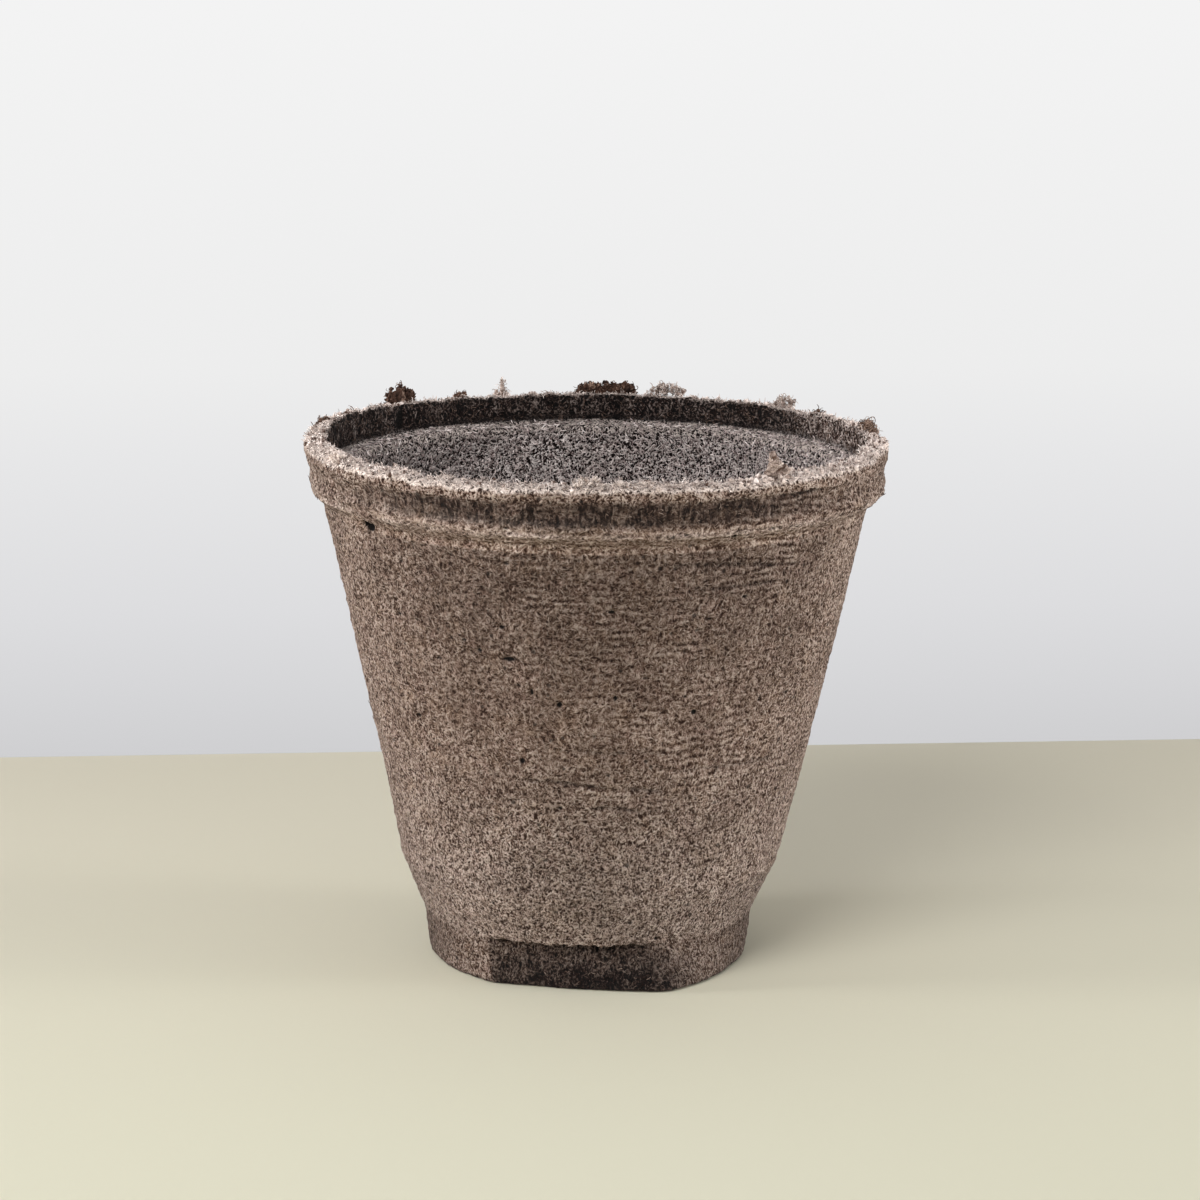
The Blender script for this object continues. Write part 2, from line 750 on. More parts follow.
@dataclass(frozen=True)
class ShellOutline:
    """The closed outline that is turned about the pot's axis."""

    sizes: PotSizes
    arc_half: int = 6
    corner_share: float = 0.48
    inner_bend: Pair = (40.0, 58.9)
    inner_step: Pair = (28.85, 28.1)

    def corners(self) -> tuple[Corner, ...]:
        """List the corners, anticlockwise from the drain hole's lower edge.

        Returns:
            The corners.
        """
        s = self.sizes
        top = s.rim_height
        ledge = top - s.band_depth
        rim_inside = s.rim_radius - s.shell
        foot_slope = (s.foot_top_radius - s.foot_bottom_radius) / s.foot_height
        dense = s.foot_height - 0.8
        inner_top = s.foot_height + s.shell
        return (
            Corner(s.hole_radius, 0.0, 0.8, Zone.FLOOR_UNDERSIDE, 0.9),
            Corner(s.floor_radius - 0.35, 0.0, 0.0, Zone.FOOT_UNDERSIDE, 0.45),
            Corner(s.foot_bottom_radius, 0.0, 1.3, Zone.FOOT, 0.30),
            Corner(s.foot_bottom_radius + foot_slope * dense, dense, 0.0, Zone.FOOT, 0.07),
            Corner(s.foot_top_radius, s.foot_height, 0.4, Zone.SHOULDER, 0.09),
            Corner(s.foot_top_radius + 0.25, s.foot_height + 0.6, 0.0, Zone.SHOULDER, 0.33),
            Corner(s.shoulder_radius, s.shoulder_top, 3.2, Zone.WALL, 0.36),
            Corner(s.wall_top_radius, s.wall_top, 0.0, Zone.COLLAR, 0.26),
            Corner(s.wall_top_radius + 0.3, s.wall_top + 1.1, 0.9, Zone.COLLAR, 0.24),
            Corner(s.rim_radius - 0.8, top - 8.7, 1.7, Zone.COLLAR, 0.24),
            Corner(s.rim_radius - 0.35, top - 6.9, 1.2, Zone.COLLAR, 0.26),
            Corner(s.rim_radius - 0.75, top - 4.4, 5.0, Zone.COLLAR, 0.26),
            Corner(s.rim_radius - 0.15, top - 2.2, 2.0, Zone.CROWN, 0.22),
            Corner(s.rim_radius, top, 1.7, Zone.CROWN, 0.20),
            Corner(rim_inside, top, 1.1, Zone.BAND, 0.30),
            Corner(rim_inside, ledge, 1.1, Zone.LEDGE, 0.28),
            Corner(s.wall_top_radius - s.wall_across, ledge - 0.2, 1.2, Zone.THROAT, 0.32),
            Corner(s.wall_top_radius - s.wall_across, s.wall_top, 0.0, Zone.INNER_WALL, 0.40),
            Corner(*self.inner_bend, 0.0, Zone.INNER_WALL, 0.70),
            Corner(s.shoulder_radius - s.wall_across, s.shoulder_top, 3.0, Zone.INNER_FOOT, 0.45),
            Corner(self.inner_step[0], inner_top + 0.6, 0.0, Zone.INNER_FOOT, 0.14),
            Corner(self.inner_step[1], inner_top - 0.6, 0.0, Zone.INNER_FOOT, 0.45),
            Corner(s.foot_top_radius - s.shell, s.foot_height, 1.0, Zone.INNER_FOOT, 0.45),
            Corner(s.floor_radius + 0.15, s.floor_top, 1.3, Zone.FLOOR, 0.6),
            Corner(s.hole_radius, s.floor_top, 0.8, Zone.HOLE, 0.5),
        )

    def _arc(self, before: Corner, corner: Corner, after: Corner) -> np.ndarray:
        """Round one corner.

        Args:
            before: The corner before it.
            corner: The corner.
            after: The corner after it.

        Returns:
            Points of its round, or the corner alone where it is sharp.
        """
        place = np.array((corner.radius, corner.height))
        if corner.rounding == 0.0:
            return place[None]
        back = np.array((before.radius, before.height)) - place
        ahead = np.array((after.radius, after.height)) - place
        longest = self.corner_share * min(np.linalg.norm(back), np.linalg.norm(ahead))
        back, ahead = unit(back), unit(ahead)
        half = math.acos(np.clip(back @ ahead, -1.0, 1.0)) / 2
        reach = min(corner.rounding / math.tan(half), longest)
        share = np.linspace(0.0, 1.0, 2 * self.arc_half + 1)[:, None]
        first, last = place + back * reach, place + ahead * reach
        return (1 - share) ** 2 * first + 2 * share * (1 - share) * place + share**2 * last

    def rows(self) -> OutlineRows:
        """Walk round the outline and set the rows at their spacing.

        Returns:
            The rows.
        """
        corners = self.corners()
        count = len(corners)
        arcs = [self._arc(corners[i - 1], corners[i], corners[(i + 1) % count]) for i in range(count)]
        places, zones = [], []
        for index, corner in enumerate(corners):
            here, ahead = arcs[index], arcs[(index + 1) % count]
            line = np.concatenate((here[len(here) // 2 :], ahead[: len(ahead) // 2 + 1]))
            lengths = np.concatenate(([0.0], np.cumsum(np.linalg.norm(np.diff(line, axis=0), axis=1))))
            steps = max(1, round(lengths[-1] / corner.spacing))
            at = lengths[-1] * np.arange(steps) / steps
            places.append(np.stack([np.interp(at, lengths, line[:, axis]) for axis in (0, 1)], axis=1))
            zones.append(np.full(steps, corner.zone.value))
        place = np.concatenate(places)
        run = unit(np.roll(place, -1, axis=0) - np.roll(place, 1, axis=0))
        steps = np.linalg.norm(np.diff(place, axis=0), axis=1)
        return OutlineRows(
            radius=place[:, 0],
            height=place[:, 1],
            outward=run[:, 1],
            upward=-run[:, 0],
            zone=np.concatenate(zones),
            along=np.concatenate(([0.0], np.cumsum(steps))),
        )


@dataclass(frozen=True)
class Pit:
    """A pit in the outside or the inner band: its place, half its width and height, and its depth."""

    angle: float
    height: float
    width: float
    tall: float
    depth: float
    inside: bool = False


@dataclass(frozen=True)
class Crease:
    """A thin groove across the outer surface, from one angle and height to another."""

    angles: Pair
    heights: Pair
    width: float
    depth: float


@dataclass
class Wear:
    """Where the moulding is torn and pale, rubbed dark, stained, greyer, crisper or lined.

    Heights, and depths below the rim, are millimetres. Angles are degrees from +X. A pair of edges says
    where a mark starts and where it is full. Other pairs are its least value and what is added to that.
    """

    shell: "MouldedShell"
    turned: np.ndarray
    pressed: np.ndarray
    hollow: np.ndarray
    grooves: np.ndarray
    front_angle: float = 280.0
    right_angle: float = 335.0
    left_angle: float = 210.0
    rows_angle: float = 312.0
    band_angle: float = 125.0
    patch_size: float = 2.6
    crown_edges: Edges = (1.0, 0.1)
    crown_inside_edges: Edges = (0.55, 0.1)
    torn_front: float = 0.2
    torn_right: float = 0.25
    low_wall_edges: Edges = (48.0, 14.0)
    low_wall_pale: float = 0.09
    lip_depth: float = 8.4
    lip_width: float = 0.75
    lip_pale: float = 0.25
    bulge_depth: float = 6.6
    bulge_width: float = 1.5
    left_share: float = 0.04
    ledge_edges: Edges = (3.0, 0.4)
    ledge_pale: float = 0.5
    face_top_edges: Edges = (1.4, 3.2)
    face_bottom_edges: Edges = (7.6, 5.6)
    face_dark: Pair = (0.16, 0.84)
    wall_edges: Edges = (40.0, 82.0)
    wall_dark: Pair = (0.20, 0.34)
    foot_dark: float = 0.52
    shoulder_dark: float = 0.26
    groove_full: float = 0.35
    groove_dark: float = 0.6
    band_edges: Edges = (0.15, 0.7)
    band_stain: Pair = (0.24, 0.76)
    flat_end_edges: Edges = (1.0, 0.42)
    ground_edges: Edges = (1.2, 0.2)
    ground_stain: float = 0.6
    crisp_edges: Edges = (22.0, 55.0)
    crisp_loss: float = 0.85
    lined_size: Triple = (30.0, 30.0, 13.0)
    lined: Pair = (0.06, 0.85)
    brown_edges: Edges = (0.2, 1.2)
    band_brown: float = 0.7
    pit_full: float = 0.36
    patchy: np.ndarray = field(init=False)
    front: np.ndarray = field(init=False)
    right: np.ndarray = field(init=False)

    def __post_init__(self) -> None:
        """Work out what several marks share."""
        self.patchy = self.shell.noise.sample(self.turned + 13.0, self.patch_size)
        self.front = smooth_step(0.2, 0.95, self.shell.towards(self.front_angle))
        self.right = smooth_step(0.3, 0.95, self.shell.towards(self.right_angle))

    def marks(self) -> dict[str, np.ndarray]:
        """Gather the marks that the finish reads.

        Returns:
            Each mark by its name.
        """
        shape = self.patchy.shape
        return {
            "pale": self._pale(),
            "dark": self._dark(),
            "stain": self._stain(),
            "grey": np.broadcast_to(self._grey()[:, None], shape),
            "pit": np.clip(self.hollow / self.pit_full - 0.2, 0.0, 1.0),
            "rows": self._lined(),
            "along": np.broadcast_to(self.shell.rows.along[:, None], shape),
            "crisp": self._crisp(),
        }

    def _pale(self) -> np.ndarray:
        """Mark pale fibre: the torn crown, the collar's lower lip, the ledge and the low wall.

        Returns:
            The mark.
        """
        shell = self.shell
        rows, depth = shell.rows, shell.depth
        crown = rows.on(Zone.CROWN, Zone.BAND, Zone.COLLAR)
        upward = smooth_step(0.0, 0.8, rows.upward)
        upward = upward * np.where(crown, smooth_step(*self.crown_edges, depth), 0.0)
        upward = upward * np.where(shell.outer, 1.0, smooth_step(*self.crown_inside_edges, depth))
        sides = 1.0 + self.torn_front * self.front - self.torn_right * self.right
        low_wall = self.low_wall_pale * smooth_step(*self.low_wall_edges, rows.height)
        low_wall = np.where(rows.on(Zone.WALL, Zone.SHOULDER), low_wall, 0.0)
        left = smooth_step(-0.1, 0.8, shell.towards(self.left_angle))
        on_collar = rows.on(Zone.COLLAR) & shell.outer
        broken = np.clip(0.5 + shell.noise.sample(self.turned + 47.0, (6.0, 6.0, 3.0)), 0.0, 1.3)
        lip = np.where(on_collar, bell(self.lip_depth, self.lip_width, depth), 0.0)[:, None]
        lip = lip * (self.lip_pale - self.left_share * left)[None] * broken
        bulge = np.where(on_collar, bell(self.bulge_depth, self.bulge_width, depth), 0.0)[:, None]
        bulge = bulge * (self.left_share * left)[None]
        start, full = (shell.sizes.band_depth + edge for edge in self.ledge_edges)
        ledge = self.ledge_pale * smooth_step(start, full, depth)
        ledge = np.where(rows.on(Zone.LEDGE, Zone.THROAT), ledge, 0.0)
        pale = upward[:, None] * sides[None] + (low_wall + ledge)[:, None] + lip + bulge
        return np.clip(pale * (1.0 + 0.5 * self.patchy), 0.0, 1.0)

    def _dark(self) -> np.ndarray:
        """Mark rubbed fibre: the collar's face, the wall's front, the foot's sides and the creases.

        Returns:
            The mark.
        """
        shell = self.shell
        rows, depth = shell.rows, shell.depth
        on_face = rows.on(Zone.COLLAR, Zone.CROWN) & shell.outer
        face = np.where(on_face, smooth_step(*self.face_top_edges, depth), 0.0)
        face = face * smooth_step(*self.face_bottom_edges, depth)
        least, added = self.face_dark
        worn = least + added * smooth_step(0.45, 0.97, shell.towards(self.front_angle))
        dark = face[:, None] * worn[None] * (1.0 + 0.4 * self.patchy)
        least, added = self.wall_dark
        wall = least + added * smooth_step(*self.wall_edges, rows.height)
        wall = np.where(rows.on(Zone.WALL), wall, 0.0)
        foot = np.where(rows.on(Zone.SHOULDER), self.shoulder_dark, 0.0)
        foot = np.where(rows.on(Zone.FOOT), self.foot_dark, foot)
        sides = 1.0 - 0.8 * self.front + 0.4 * self.right
        dark = dark + wall[:, None] * self.front[None] + foot[:, None] * sides[None]
        dark = dark + self.groove_dark * np.clip(self.grooves / self.groove_full, 0.0, 1.0)
        return np.clip(dark, 0.0, 1.0)

    def _stain(self) -> np.ndarray:
        """Mark stained fibre: the band inside the rim, the flats of the foot and the edge on the ground.

        Returns:
            The mark.
        """
        shell = self.shell
        rows, off = shell.rows, shell.off_flat[None]
        on_band = rows.on(Zone.BAND, Zone.CROWN) & ~shell.outer
        band = np.where(on_band, smooth_step(*self.band_edges, shell.depth), 0.0)
        least, added = self.band_stain
        shaded = least + added * smooth_step(0.0, 0.5, shell.towards(self.band_angle))
        on_foot = rows.on(Zone.FOOT)
        one_end, other_end = smooth_step(0.02, 0.3, self.pressed), smooth_step(*self.flat_end_edges, off)
        flats = np.where(on_foot[:, None], np.where(off < 0.0, one_end, other_end), 0.0)
        flats = flats * (0.82 + 0.18 * smooth_step(-0.5, 0.1, off))
        open_end = smooth_step(0.4, 0.7, off) * smooth_step(5.0, 9.2, rows.height)[:, None]
        flats = flats * (1.0 - open_end) * (0.55 + 0.45 * self.front)
        flats = flats * (0.64 + 0.36 * smooth_step(8.0, 1.0, rows.height))[:, None]
        ground = np.where(on_foot, self.ground_stain * smooth_step(*self.ground_edges, rows.height), 0.0)
        flats = np.maximum(flats, ground[:, None])
        stain = band[:, None] * shaded[None] * (1.0 + 0.25 * self.patchy)
        return np.clip(stain + flats * (1.0 + 0.2 * self.patchy), 0.0, 1.0)

    def _crisp(self) -> np.ndarray:
        """Mark crisp fibre, which is everywhere but on the upper front of the outside.

        Returns:
            The mark.
        """
        high = smooth_step(*self.crisp_edges, self.shell.rows.height)
        crisp = 1.0 - self.crisp_loss * high[:, None] * self.front[None]
        return np.where(self.shell.outside[:, None], crisp, 1.0)

    def _lined(self) -> np.ndarray:
        """Mark where the mould left rows.

        Returns:
            The mark.
        """
        shell = self.shell
        least, added = self.lined
        facing = smooth_step(0.3, 0.95, shell.towards(self.rows_angle))
        broad = smooth_step(-0.5, 0.2, shell.noise.sample(self.turned + 71.0, self.lined_size))
        on_wall = shell.rows.on(Zone.WALL, Zone.COLLAR)
        return np.where(on_wall[:, None], least + added * (facing[None] * broad), 0.0)

    def _grey(self) -> np.ndarray:
        """Mark the greyer inside, with a browner band.

        Returns:
            The mark, with a value for each row.
        """
        shell = self.shell
        start, full = (shell.sizes.band_depth - edge for edge in self.brown_edges)
        brown = self.band_brown * smooth_step(start, full, shell.depth)
        inner = shell.rows.on(*INNER_SURFACE, Zone.FLOOR)
        return np.where(inner, 1.0, 0.0) - np.where(shell.rows.on(Zone.BAND), brown, 0.0)


@dataclass
class MouldedShell:
    """The moulding: the turned outline, its pressed flats and its rough, pitted fibre.

    Lengths are millimetres. Angles are degrees from +X.
    """

    sizes: PotSizes
    columns: int = 840
    seed: int = 11
    leaning_angle: float = 190.0
    high_angle: float = 125.0
    crown_tilt: Pair = (0.60, 0.18)
    raised_angle: float = 174.0
    raised: float = 1.0
    foot_shift: float = 0.84
    shift_edges: Edges = (50.0, 4.0)
    spread_angle: float = 288.0
    spread_reach: float = 60.0
    foot_spread: float = 4.6
    flat_spread: float = 0.45
    flat_softness: Pair = (0.2, 0.9)
    foot_ring: float = 30.0
    collar_ring: float = 54.0
    collar_lean: float = 0.95
    small_pits: int = 1500
    small_pit_size: Pair = (0.22, 0.55)
    pits: tuple[Pit, ...] = (
        Pit(226.8, 86.25, 1.30, 0.75, 2.4),
        Pit(307.8, 87.9, 0.45, 0.65, 0.9),
        Pit(260.9, 65.3, 1.30, 0.45, 0.6),
        Pit(283.6, 74.8, 0.70, 0.45, 0.5),
        Pit(259.5, 71.2, 0.60, 0.45, 0.5),
        Pit(265.9, 59.3, 0.40, 0.75, 0.5),
        Pit(272.1, 57.1, 0.60, 0.55, 0.5),
        Pit(285.2, 58.6, 0.45, 0.60, 0.5),
        Pit(262.5, 45.7, 0.60, 0.55, 0.5),
        Pit(232.1, 51.5, 0.60, 0.50, 0.5),
        Pit(304.2, 55.1, 0.65, 0.60, 0.5),
        Pit(323.1, 55.7, 0.45, 0.50, 0.5),
        Pit(338.8, 58.9, 0.45, 0.45, 0.5),
        Pit(340.0, 36.1, 0.55, 0.50, 0.5),
        Pit(313.8, 76.1, 0.80, 0.45, 0.4),
        Pit(347.8, 85.0, 0.50, 0.80, 0.6),
        Pit(283.8, 7.4, 0.30, 1.00, 0.6),
        Pit(149.6, 95.0, 1.05, 1.50, 0.6, inside=True),
    )
    creases: tuple[Crease, ...] = (
        Crease((262.0, 298.0), (42.5, 40.3), 0.34, 0.58),
        Crease((279.0, 298.0), (37.2, 36.5), 0.32, 0.48),
        Crease((292.0, 328.0), (83.3, 81.1), 0.34, 0.42),
        Crease((300.0, 326.0), (78.6, 77.9), 0.30, 0.36),
        Crease((272.0, 300.0), (48.6, 47.4), 0.30, 0.34),
        Crease((300.0, 342.0), (44.0, 43.0), 0.30, 0.34),
        Crease((315.0, 339.0), (94.6, 94.9), 0.30, 0.50),
        Crease((20.0, 62.0), (70.0, 68.9), 0.26, 0.24),
        Crease((96.0, 150.0), (52.0, 53.4), 0.26, 0.28),
        Crease((150.0, 196.0), (33.0, 31.8), 0.26, 0.24),
    )
    rows: OutlineRows = field(init=False)
    angles: np.ndarray = field(init=False)
    ring: np.ndarray = field(init=False)
    noise: GradientNoise = field(init=False)
    rng: np.random.Generator = field(init=False)
    depth: np.ndarray = field(init=False)
    outside: np.ndarray = field(init=False)
    outer: np.ndarray = field(init=False)
    off_flat: np.ndarray = field(init=False)
    points: np.ndarray = field(init=False)
    normals: np.ndarray = field(init=False)
    marks: dict[str, np.ndarray] = field(init=False)

    def __post_init__(self) -> None:
        """Work out the whole surface."""
        self._lay_out()
        pressed, spread = self._flat_press()
        turned = self._turned(self.rows.radius[:, None] + spread - pressed, self.rows.height[:, None])
        hollow, grooves = self._pit_field()
        rough = self._roughness(turned) - np.maximum(hollow, grooves)
        direction = self._turned(self.rows.outward[:, None], self.rows.upward[:, None])
        self.points = turned + direction * rough[..., None]
        self._shape_collar()
        self._tear_crown()
        self._shift_foot()
        self.normals = self._surface_normals()
        self.marks = Wear(self, turned, pressed, hollow, grooves).marks()

    def _lay_out(self) -> None:
        """Set the rows and the columns, and note where each lies."""
        s = self.sizes
        self.rows = ShellOutline(s).rows()
        self.angles = np.arange(self.columns) * (math.tau / self.columns)
        self.ring = np.stack((np.cos(self.angles), np.sin(self.angles), np.zeros(self.columns)), axis=1)
        self.noise = GradientNoise(self.seed)
        self.rng = np.random.default_rng(self.seed)
        self.depth = s.rim_height - self.rows.height
        self.outside = self.rows.on(Zone.FOOT, Zone.SHOULDER, Zone.WALL, Zone.COLLAR)
        self.outer = self.rows.radius > s.rim_radius - s.shell / 2
        pitch = math.tau / s.flat_count
        turned = self.angles + math.pi / 2 - math.radians(s.flat_turn)
        self.off_flat = (turned + pitch / 2) % pitch - pitch / 2

    def towards(self, angle: float) -> np.ndarray:
        """Cosine of the angle between each column and a direction."""
        return np.cos(self.angles - math.radians(angle))

    def _turned(self, outward: np.ndarray, upward: np.ndarray) -> np.ndarray:
        """Turn radial and upward parts about the axis.

        Args:
            outward: Radial part of each row, or of each row and column.
            upward: Upward part of each row, or of each row and column.

        Returns:
            x, y and z for each row and column.
        """
        shape = (len(self.rows.radius), self.columns)
        outward, upward = np.broadcast_to(outward, shape), np.broadcast_to(upward, shape)
        return np.stack((outward * np.cos(self.angles), outward * np.sin(self.angles), upward), axis=-1)

    def _spread(self) -> np.ndarray:
        """Spread the foot out at its front flat, most at the ground.

        Returns:
            How far each row and column is spread.
        """
        away = (self.angles - math.radians(self.spread_angle) + math.pi) % math.tau - math.pi
        away = np.clip(away / math.radians(self.spread_reach), -1.0, 1.0)
        spread = self.foot_spread * np.cos(away * math.pi / 2) ** 2
        return smooth_step(self.sizes.foot_height, 0.0, self.rows.height)[:, None] * spread[None]

    def _flat_depth(self, radius: np.ndarray, distance: np.ndarray | float) -> np.ndarray:
        """Measure from a radius down to the flats, with soft corners.

        Args:
            radius: Radius of each row, or of each row and column.
            distance: How far the flats are from the axis.

        Returns:
            The depth at each row and column.
        """
        softness = np.interp(self.off_flat, (-0.45, 0.45), self.flat_softness)
        over = radius - distance / np.cos(self.off_flat)
        return (over + np.sqrt(over**2 + softness**2)) / 2 - softness**2 / 14

    def _flat_press(self) -> tuple[np.ndarray, np.ndarray]:
        """Press the flats of the foot, outside and inside, with a ragged upper edge.

        Returns:
            How far each point is pressed in, and how far it is spread out at the front flat.
        """
        s, rows = self.sizes, self.rows
        underside = (Zone.FLOOR_UNDERSIDE, Zone.FOOT_UNDERSIDE)
        outer_rows = rows.on(*underside, Zone.FOOT, Zone.SHOULDER)[:, None]
        inner_rows = rows.on(Zone.INNER_FOOT, Zone.FLOOR)[:, None]
        spread = self._spread()
        outer_edge = np.maximum(rows.radius, s.foot_bottom_radius)[:, None] + spread
        outer = self._flat_depth(outer_edge, s.flat_distance + self.flat_spread * spread)
        inner_edge = np.maximum(rows.radius, s.floor_radius)[:, None]
        inner = self._flat_depth(inner_edge, s.flat_distance - s.shell)
        foot = self.ring * self.foot_ring
        ragged = 0.30 * self.noise.sample(foot, 3.0) + 0.28 * self.noise.sample(foot + 8.0, 1.1)
        level = rows.height[:, None] + ragged[None]
        to_edge = np.where(rows.on(*underside), (rows.radius / s.foot_bottom_radius) ** 3, 1.0)[:, None]
        outer_share = smooth_step(s.foot_height + 0.3, s.foot_height - 0.6, level) * to_edge
        inner_top = s.foot_height + s.shell
        on_floor = np.where(rows.on(Zone.FLOOR), (rows.radius / s.floor_radius) ** 3, 1.0)[:, None]
        inner_share = smooth_step(inner_top + 6.0, inner_top - 4.0, level) * on_floor
        pressed = np.where(outer_rows, outer * outer_share, 0.0)
        pressed = pressed + np.where(inner_rows, inner * inner_share, 0.0)
        return np.maximum(pressed, 0.0), np.where(outer_rows, spread * to_edge, 0.0)

    def _roughness(self, points: np.ndarray) -> np.ndarray:
        """Raise the felted fibre over the turned surface.

        Args:
            points: The turned surface.

        Returns:
            How far each point stands out.
        """
        sample = self.noise.sample
        inner = self.rows.on(*INNER_SURFACE)
        under = self.rows.on(Zone.FLOOR_UNDERSIDE, Zone.FOOT_UNDERSIDE, Zone.HOLE)
        coarse = np.where(inner, 2.2, np.where(under, 0.4, 1.0))[:, None]
        fine = np.where(inner, 1.9, np.where(under, 0.5, 1.0))[:, None]
        lumps = 0.20 * sample(points, 19.0) + 0.10 * sample(points + 31.0, 6.5)
        felt = 0.085 * sample(points + 57.0, 2.3) + 0.080 * sample(points + 83.0, 1.05)
        lines = 0.060 * sample(points + 7.0, (7.0, 7.0, 1.3)) * self.outside[:, None]
        return lumps * coarse + felt * fine + lines

    def _pit_field(self) -> tuple[np.ndarray, np.ndarray]:
        """Press the placed pits, the small pits and the creases.

        Returns:
            Depth of the pits, and depth of the creases, at each row and column.
        """
        hollow = np.zeros((len(self.rows.radius), self.columns))
        grooves = np.zeros_like(hollow)
        for pit in self.pits:
            among = self.rows.on(Zone.BAND) if pit.inside else self.outside
            column = round(pit.angle / 360.0 * self.columns)
            shape = (pit.width, pit.tall, pit.depth)
            self._stamp(hollow, self._nearest_row(pit.height, among), column, shape)
        weights = np.where(self.outside, self.rows.radius * np.gradient(self.rows.along), 0.0)
        chosen = self.rng.choice(len(weights), self.small_pits, p=weights / weights.sum())
        for row in chosen:
            size = self.rng.uniform(*self.small_pit_size)
            shape = (size * self.rng.uniform(0.8, 1.7), size, size * self.rng.uniform(0.35, 0.7))
            self._stamp(hollow, row, self.rng.integers(self.columns), shape)
        for crease in self.creases:
            self._groove(grooves, crease)
        return hollow, grooves

    def _nearest_row(self, height: float, among: np.ndarray) -> int:
        """The row at a height, among some rows."""
        gap = np.where(among, np.abs(self.rows.height - height), np.inf)
        return int(np.argmin(gap))

    def _stamp(self, hollow: np.ndarray, row: int, column: int, shape: Triple) -> None:
        """Press one soft-edged pit.

        Args:
            hollow: Depths, which are changed in place.
            row: Row at the pit's middle.
            column: Column at the pit's middle.
            shape: Half width, half height and depth.
        """
        width, tall, depth = shape
        rows = np.flatnonzero(np.abs(self.rows.along - self.rows.along[row]) < 2.4 * tall)
        pitch = math.tau * self.rows.radius[row] / self.columns
        reach = math.ceil(2.4 * width / pitch)
        columns = np.arange(column - reach, column + reach + 1)
        across = (columns - column) * pitch / width
        along = (self.rows.along[rows] - self.rows.along[row]) / tall
        dip = depth * np.exp(-((across[None] ** 2 + along[:, None] ** 2) ** 1.5))
        grid = np.ix_(rows, columns % self.columns)
        hollow[grid] = np.maximum(hollow[grid], dip)

    def _groove(self, grooves: np.ndarray, crease: Crease) -> None:
        """Press one crease, which wanders and breaks off here and there.

        Args:
            grooves: Depths, which are changed in place.
            crease: The crease.
        """
        degrees = np.degrees(self.angles)
        start, end = crease.angles
        columns = np.flatnonzero((degrees >= start) & (degrees <= end))
        share = (degrees[columns] - start) / (end - start)
        level = np.full(len(columns), crease.heights[0])
        path = np.stack((degrees[columns], level, np.zeros(len(columns))), axis=1)
        level = np.interp(share, (0.0, 1.0), crease.heights) + 0.4 * self.noise.sample(path, 9.0)
        strength = np.clip(0.72 + 0.6 * self.noise.sample(path + 40.0, 4.0), 0.0, 1.0)
        strength = strength * np.sin(math.pi * share) ** 0.4
        rows = np.flatnonzero(self.outside & (np.abs(self.rows.height - crease.heights[0]) < 6.0))
        dip = bell(level[None], crease.width, self.rows.height[rows][:, None])
        dip = crease.depth * strength[None] * dip
        grid = np.ix_(rows, columns)
        grooves[grid] = np.maximum(grooves[grid], dip)

    def _shape_collar(self) -> None:
        """Lean the collar in on one side, and give its lower lip an uneven roll."""
        depth = self.depth
        collar = self.rows.on(Zone.COLLAR, Zone.CROWN)
        left = 0.5 + 0.5 * self.towards(self.leaning_angle)
        lean = np.clip((depth - 1.5) / 7.0, 0.0, 1.2)[:, None] * (self.collar_lean * left**1.5)[None]
        proud = np.clip((self.rows.radius - self.sizes.wall_top_radius - 0.2) / 3.0, 0.0, 1.0)[:, None]
        face = self.ring * self.collar_ring
        roll = bell(7.2, 0.8, depth)[:, None] * (0.16 + 0.2 * self.noise.sample(face, 11.0))
        edge = np.clip(0.16 + 0.4 * self.noise.sample(face + 3.0, 6.0), 0.0, 0.5)
        roll = roll + bell(8.5, 0.42, depth)[:, None] * edge
        ripples = 0.24 * self.noise.sample(self.points + 5.0, (7.0, 7.0, 1.9))
        shift = np.where(collar[:, None], (roll - lean + ripples) * proud, 0.0)
        self.points[..., :2] += shift[..., None] * self.ring[None, :, :2]

    def _tear_crown(self) -> None:
        """Make the crown wavy and torn, with a lip that hangs over the collar's face."""
        s, depth = self.sizes, self.depth
        rim = self.ring * s.rim_radius
        waves = 0.28 * self.noise.sample(rim, 9.0) + 0.32 * self.noise.sample(rim + 17.0, 3.0)
        waves = waves + 0.24 * self.noise.sample(rim + 29.0, 1.3) + 0.32
        waves = waves + self.raised * np.exp(14.0 * (self.towards(self.raised_angle) - 1.0))
        tilt = np.clip((s.rim_radius - s.shell / 2 - self.rows.radius) / (s.shell / 2), -1.0, 1.0)
        steep = self.crown_tilt[0] + self.crown_tilt[1] * self.towards(self.high_angle)
        top = self.rows.on(Zone.CROWN, Zone.BAND, Zone.COLLAR) & (depth < 4.0)
        lift = np.where(top, smooth_step(3.6, 0.4, depth), 0.0)
        self.points[..., 2] += lift[:, None] * (waves[None] + tilt[:, None] * steep[None])
        tears = np.clip(0.35 + 0.75 * self.noise.sample(rim + 91.0, 3.6), 0.0, 1.0)
        lip = np.where(self.outer, bell(1.5, 0.75, depth), 0.0)
        under_lip = np.where(self.outer, bell(3.0, 0.55, depth), 0.0)
        shift = lip[:, None] * 0.15 * tears[None] - under_lip[:, None] * 0.08 * tears[None]
        self.points[..., :2] += shift[..., None] * self.ring[None, :, :2]

    def _shift_foot(self) -> None:
        """Shift the foot to one side, and keep everything above the ground."""
        shift = self.foot_shift * smooth_step(*self.shift_edges, self.rows.height)[:, None]
        self.points[..., 0] += shift * math.cos(math.radians(self.leaning_angle))
        self.points[..., 1] += shift * math.sin(math.radians(self.leaning_angle))
        self.points[..., 2] = np.maximum(self.points[..., 2], 0.0)

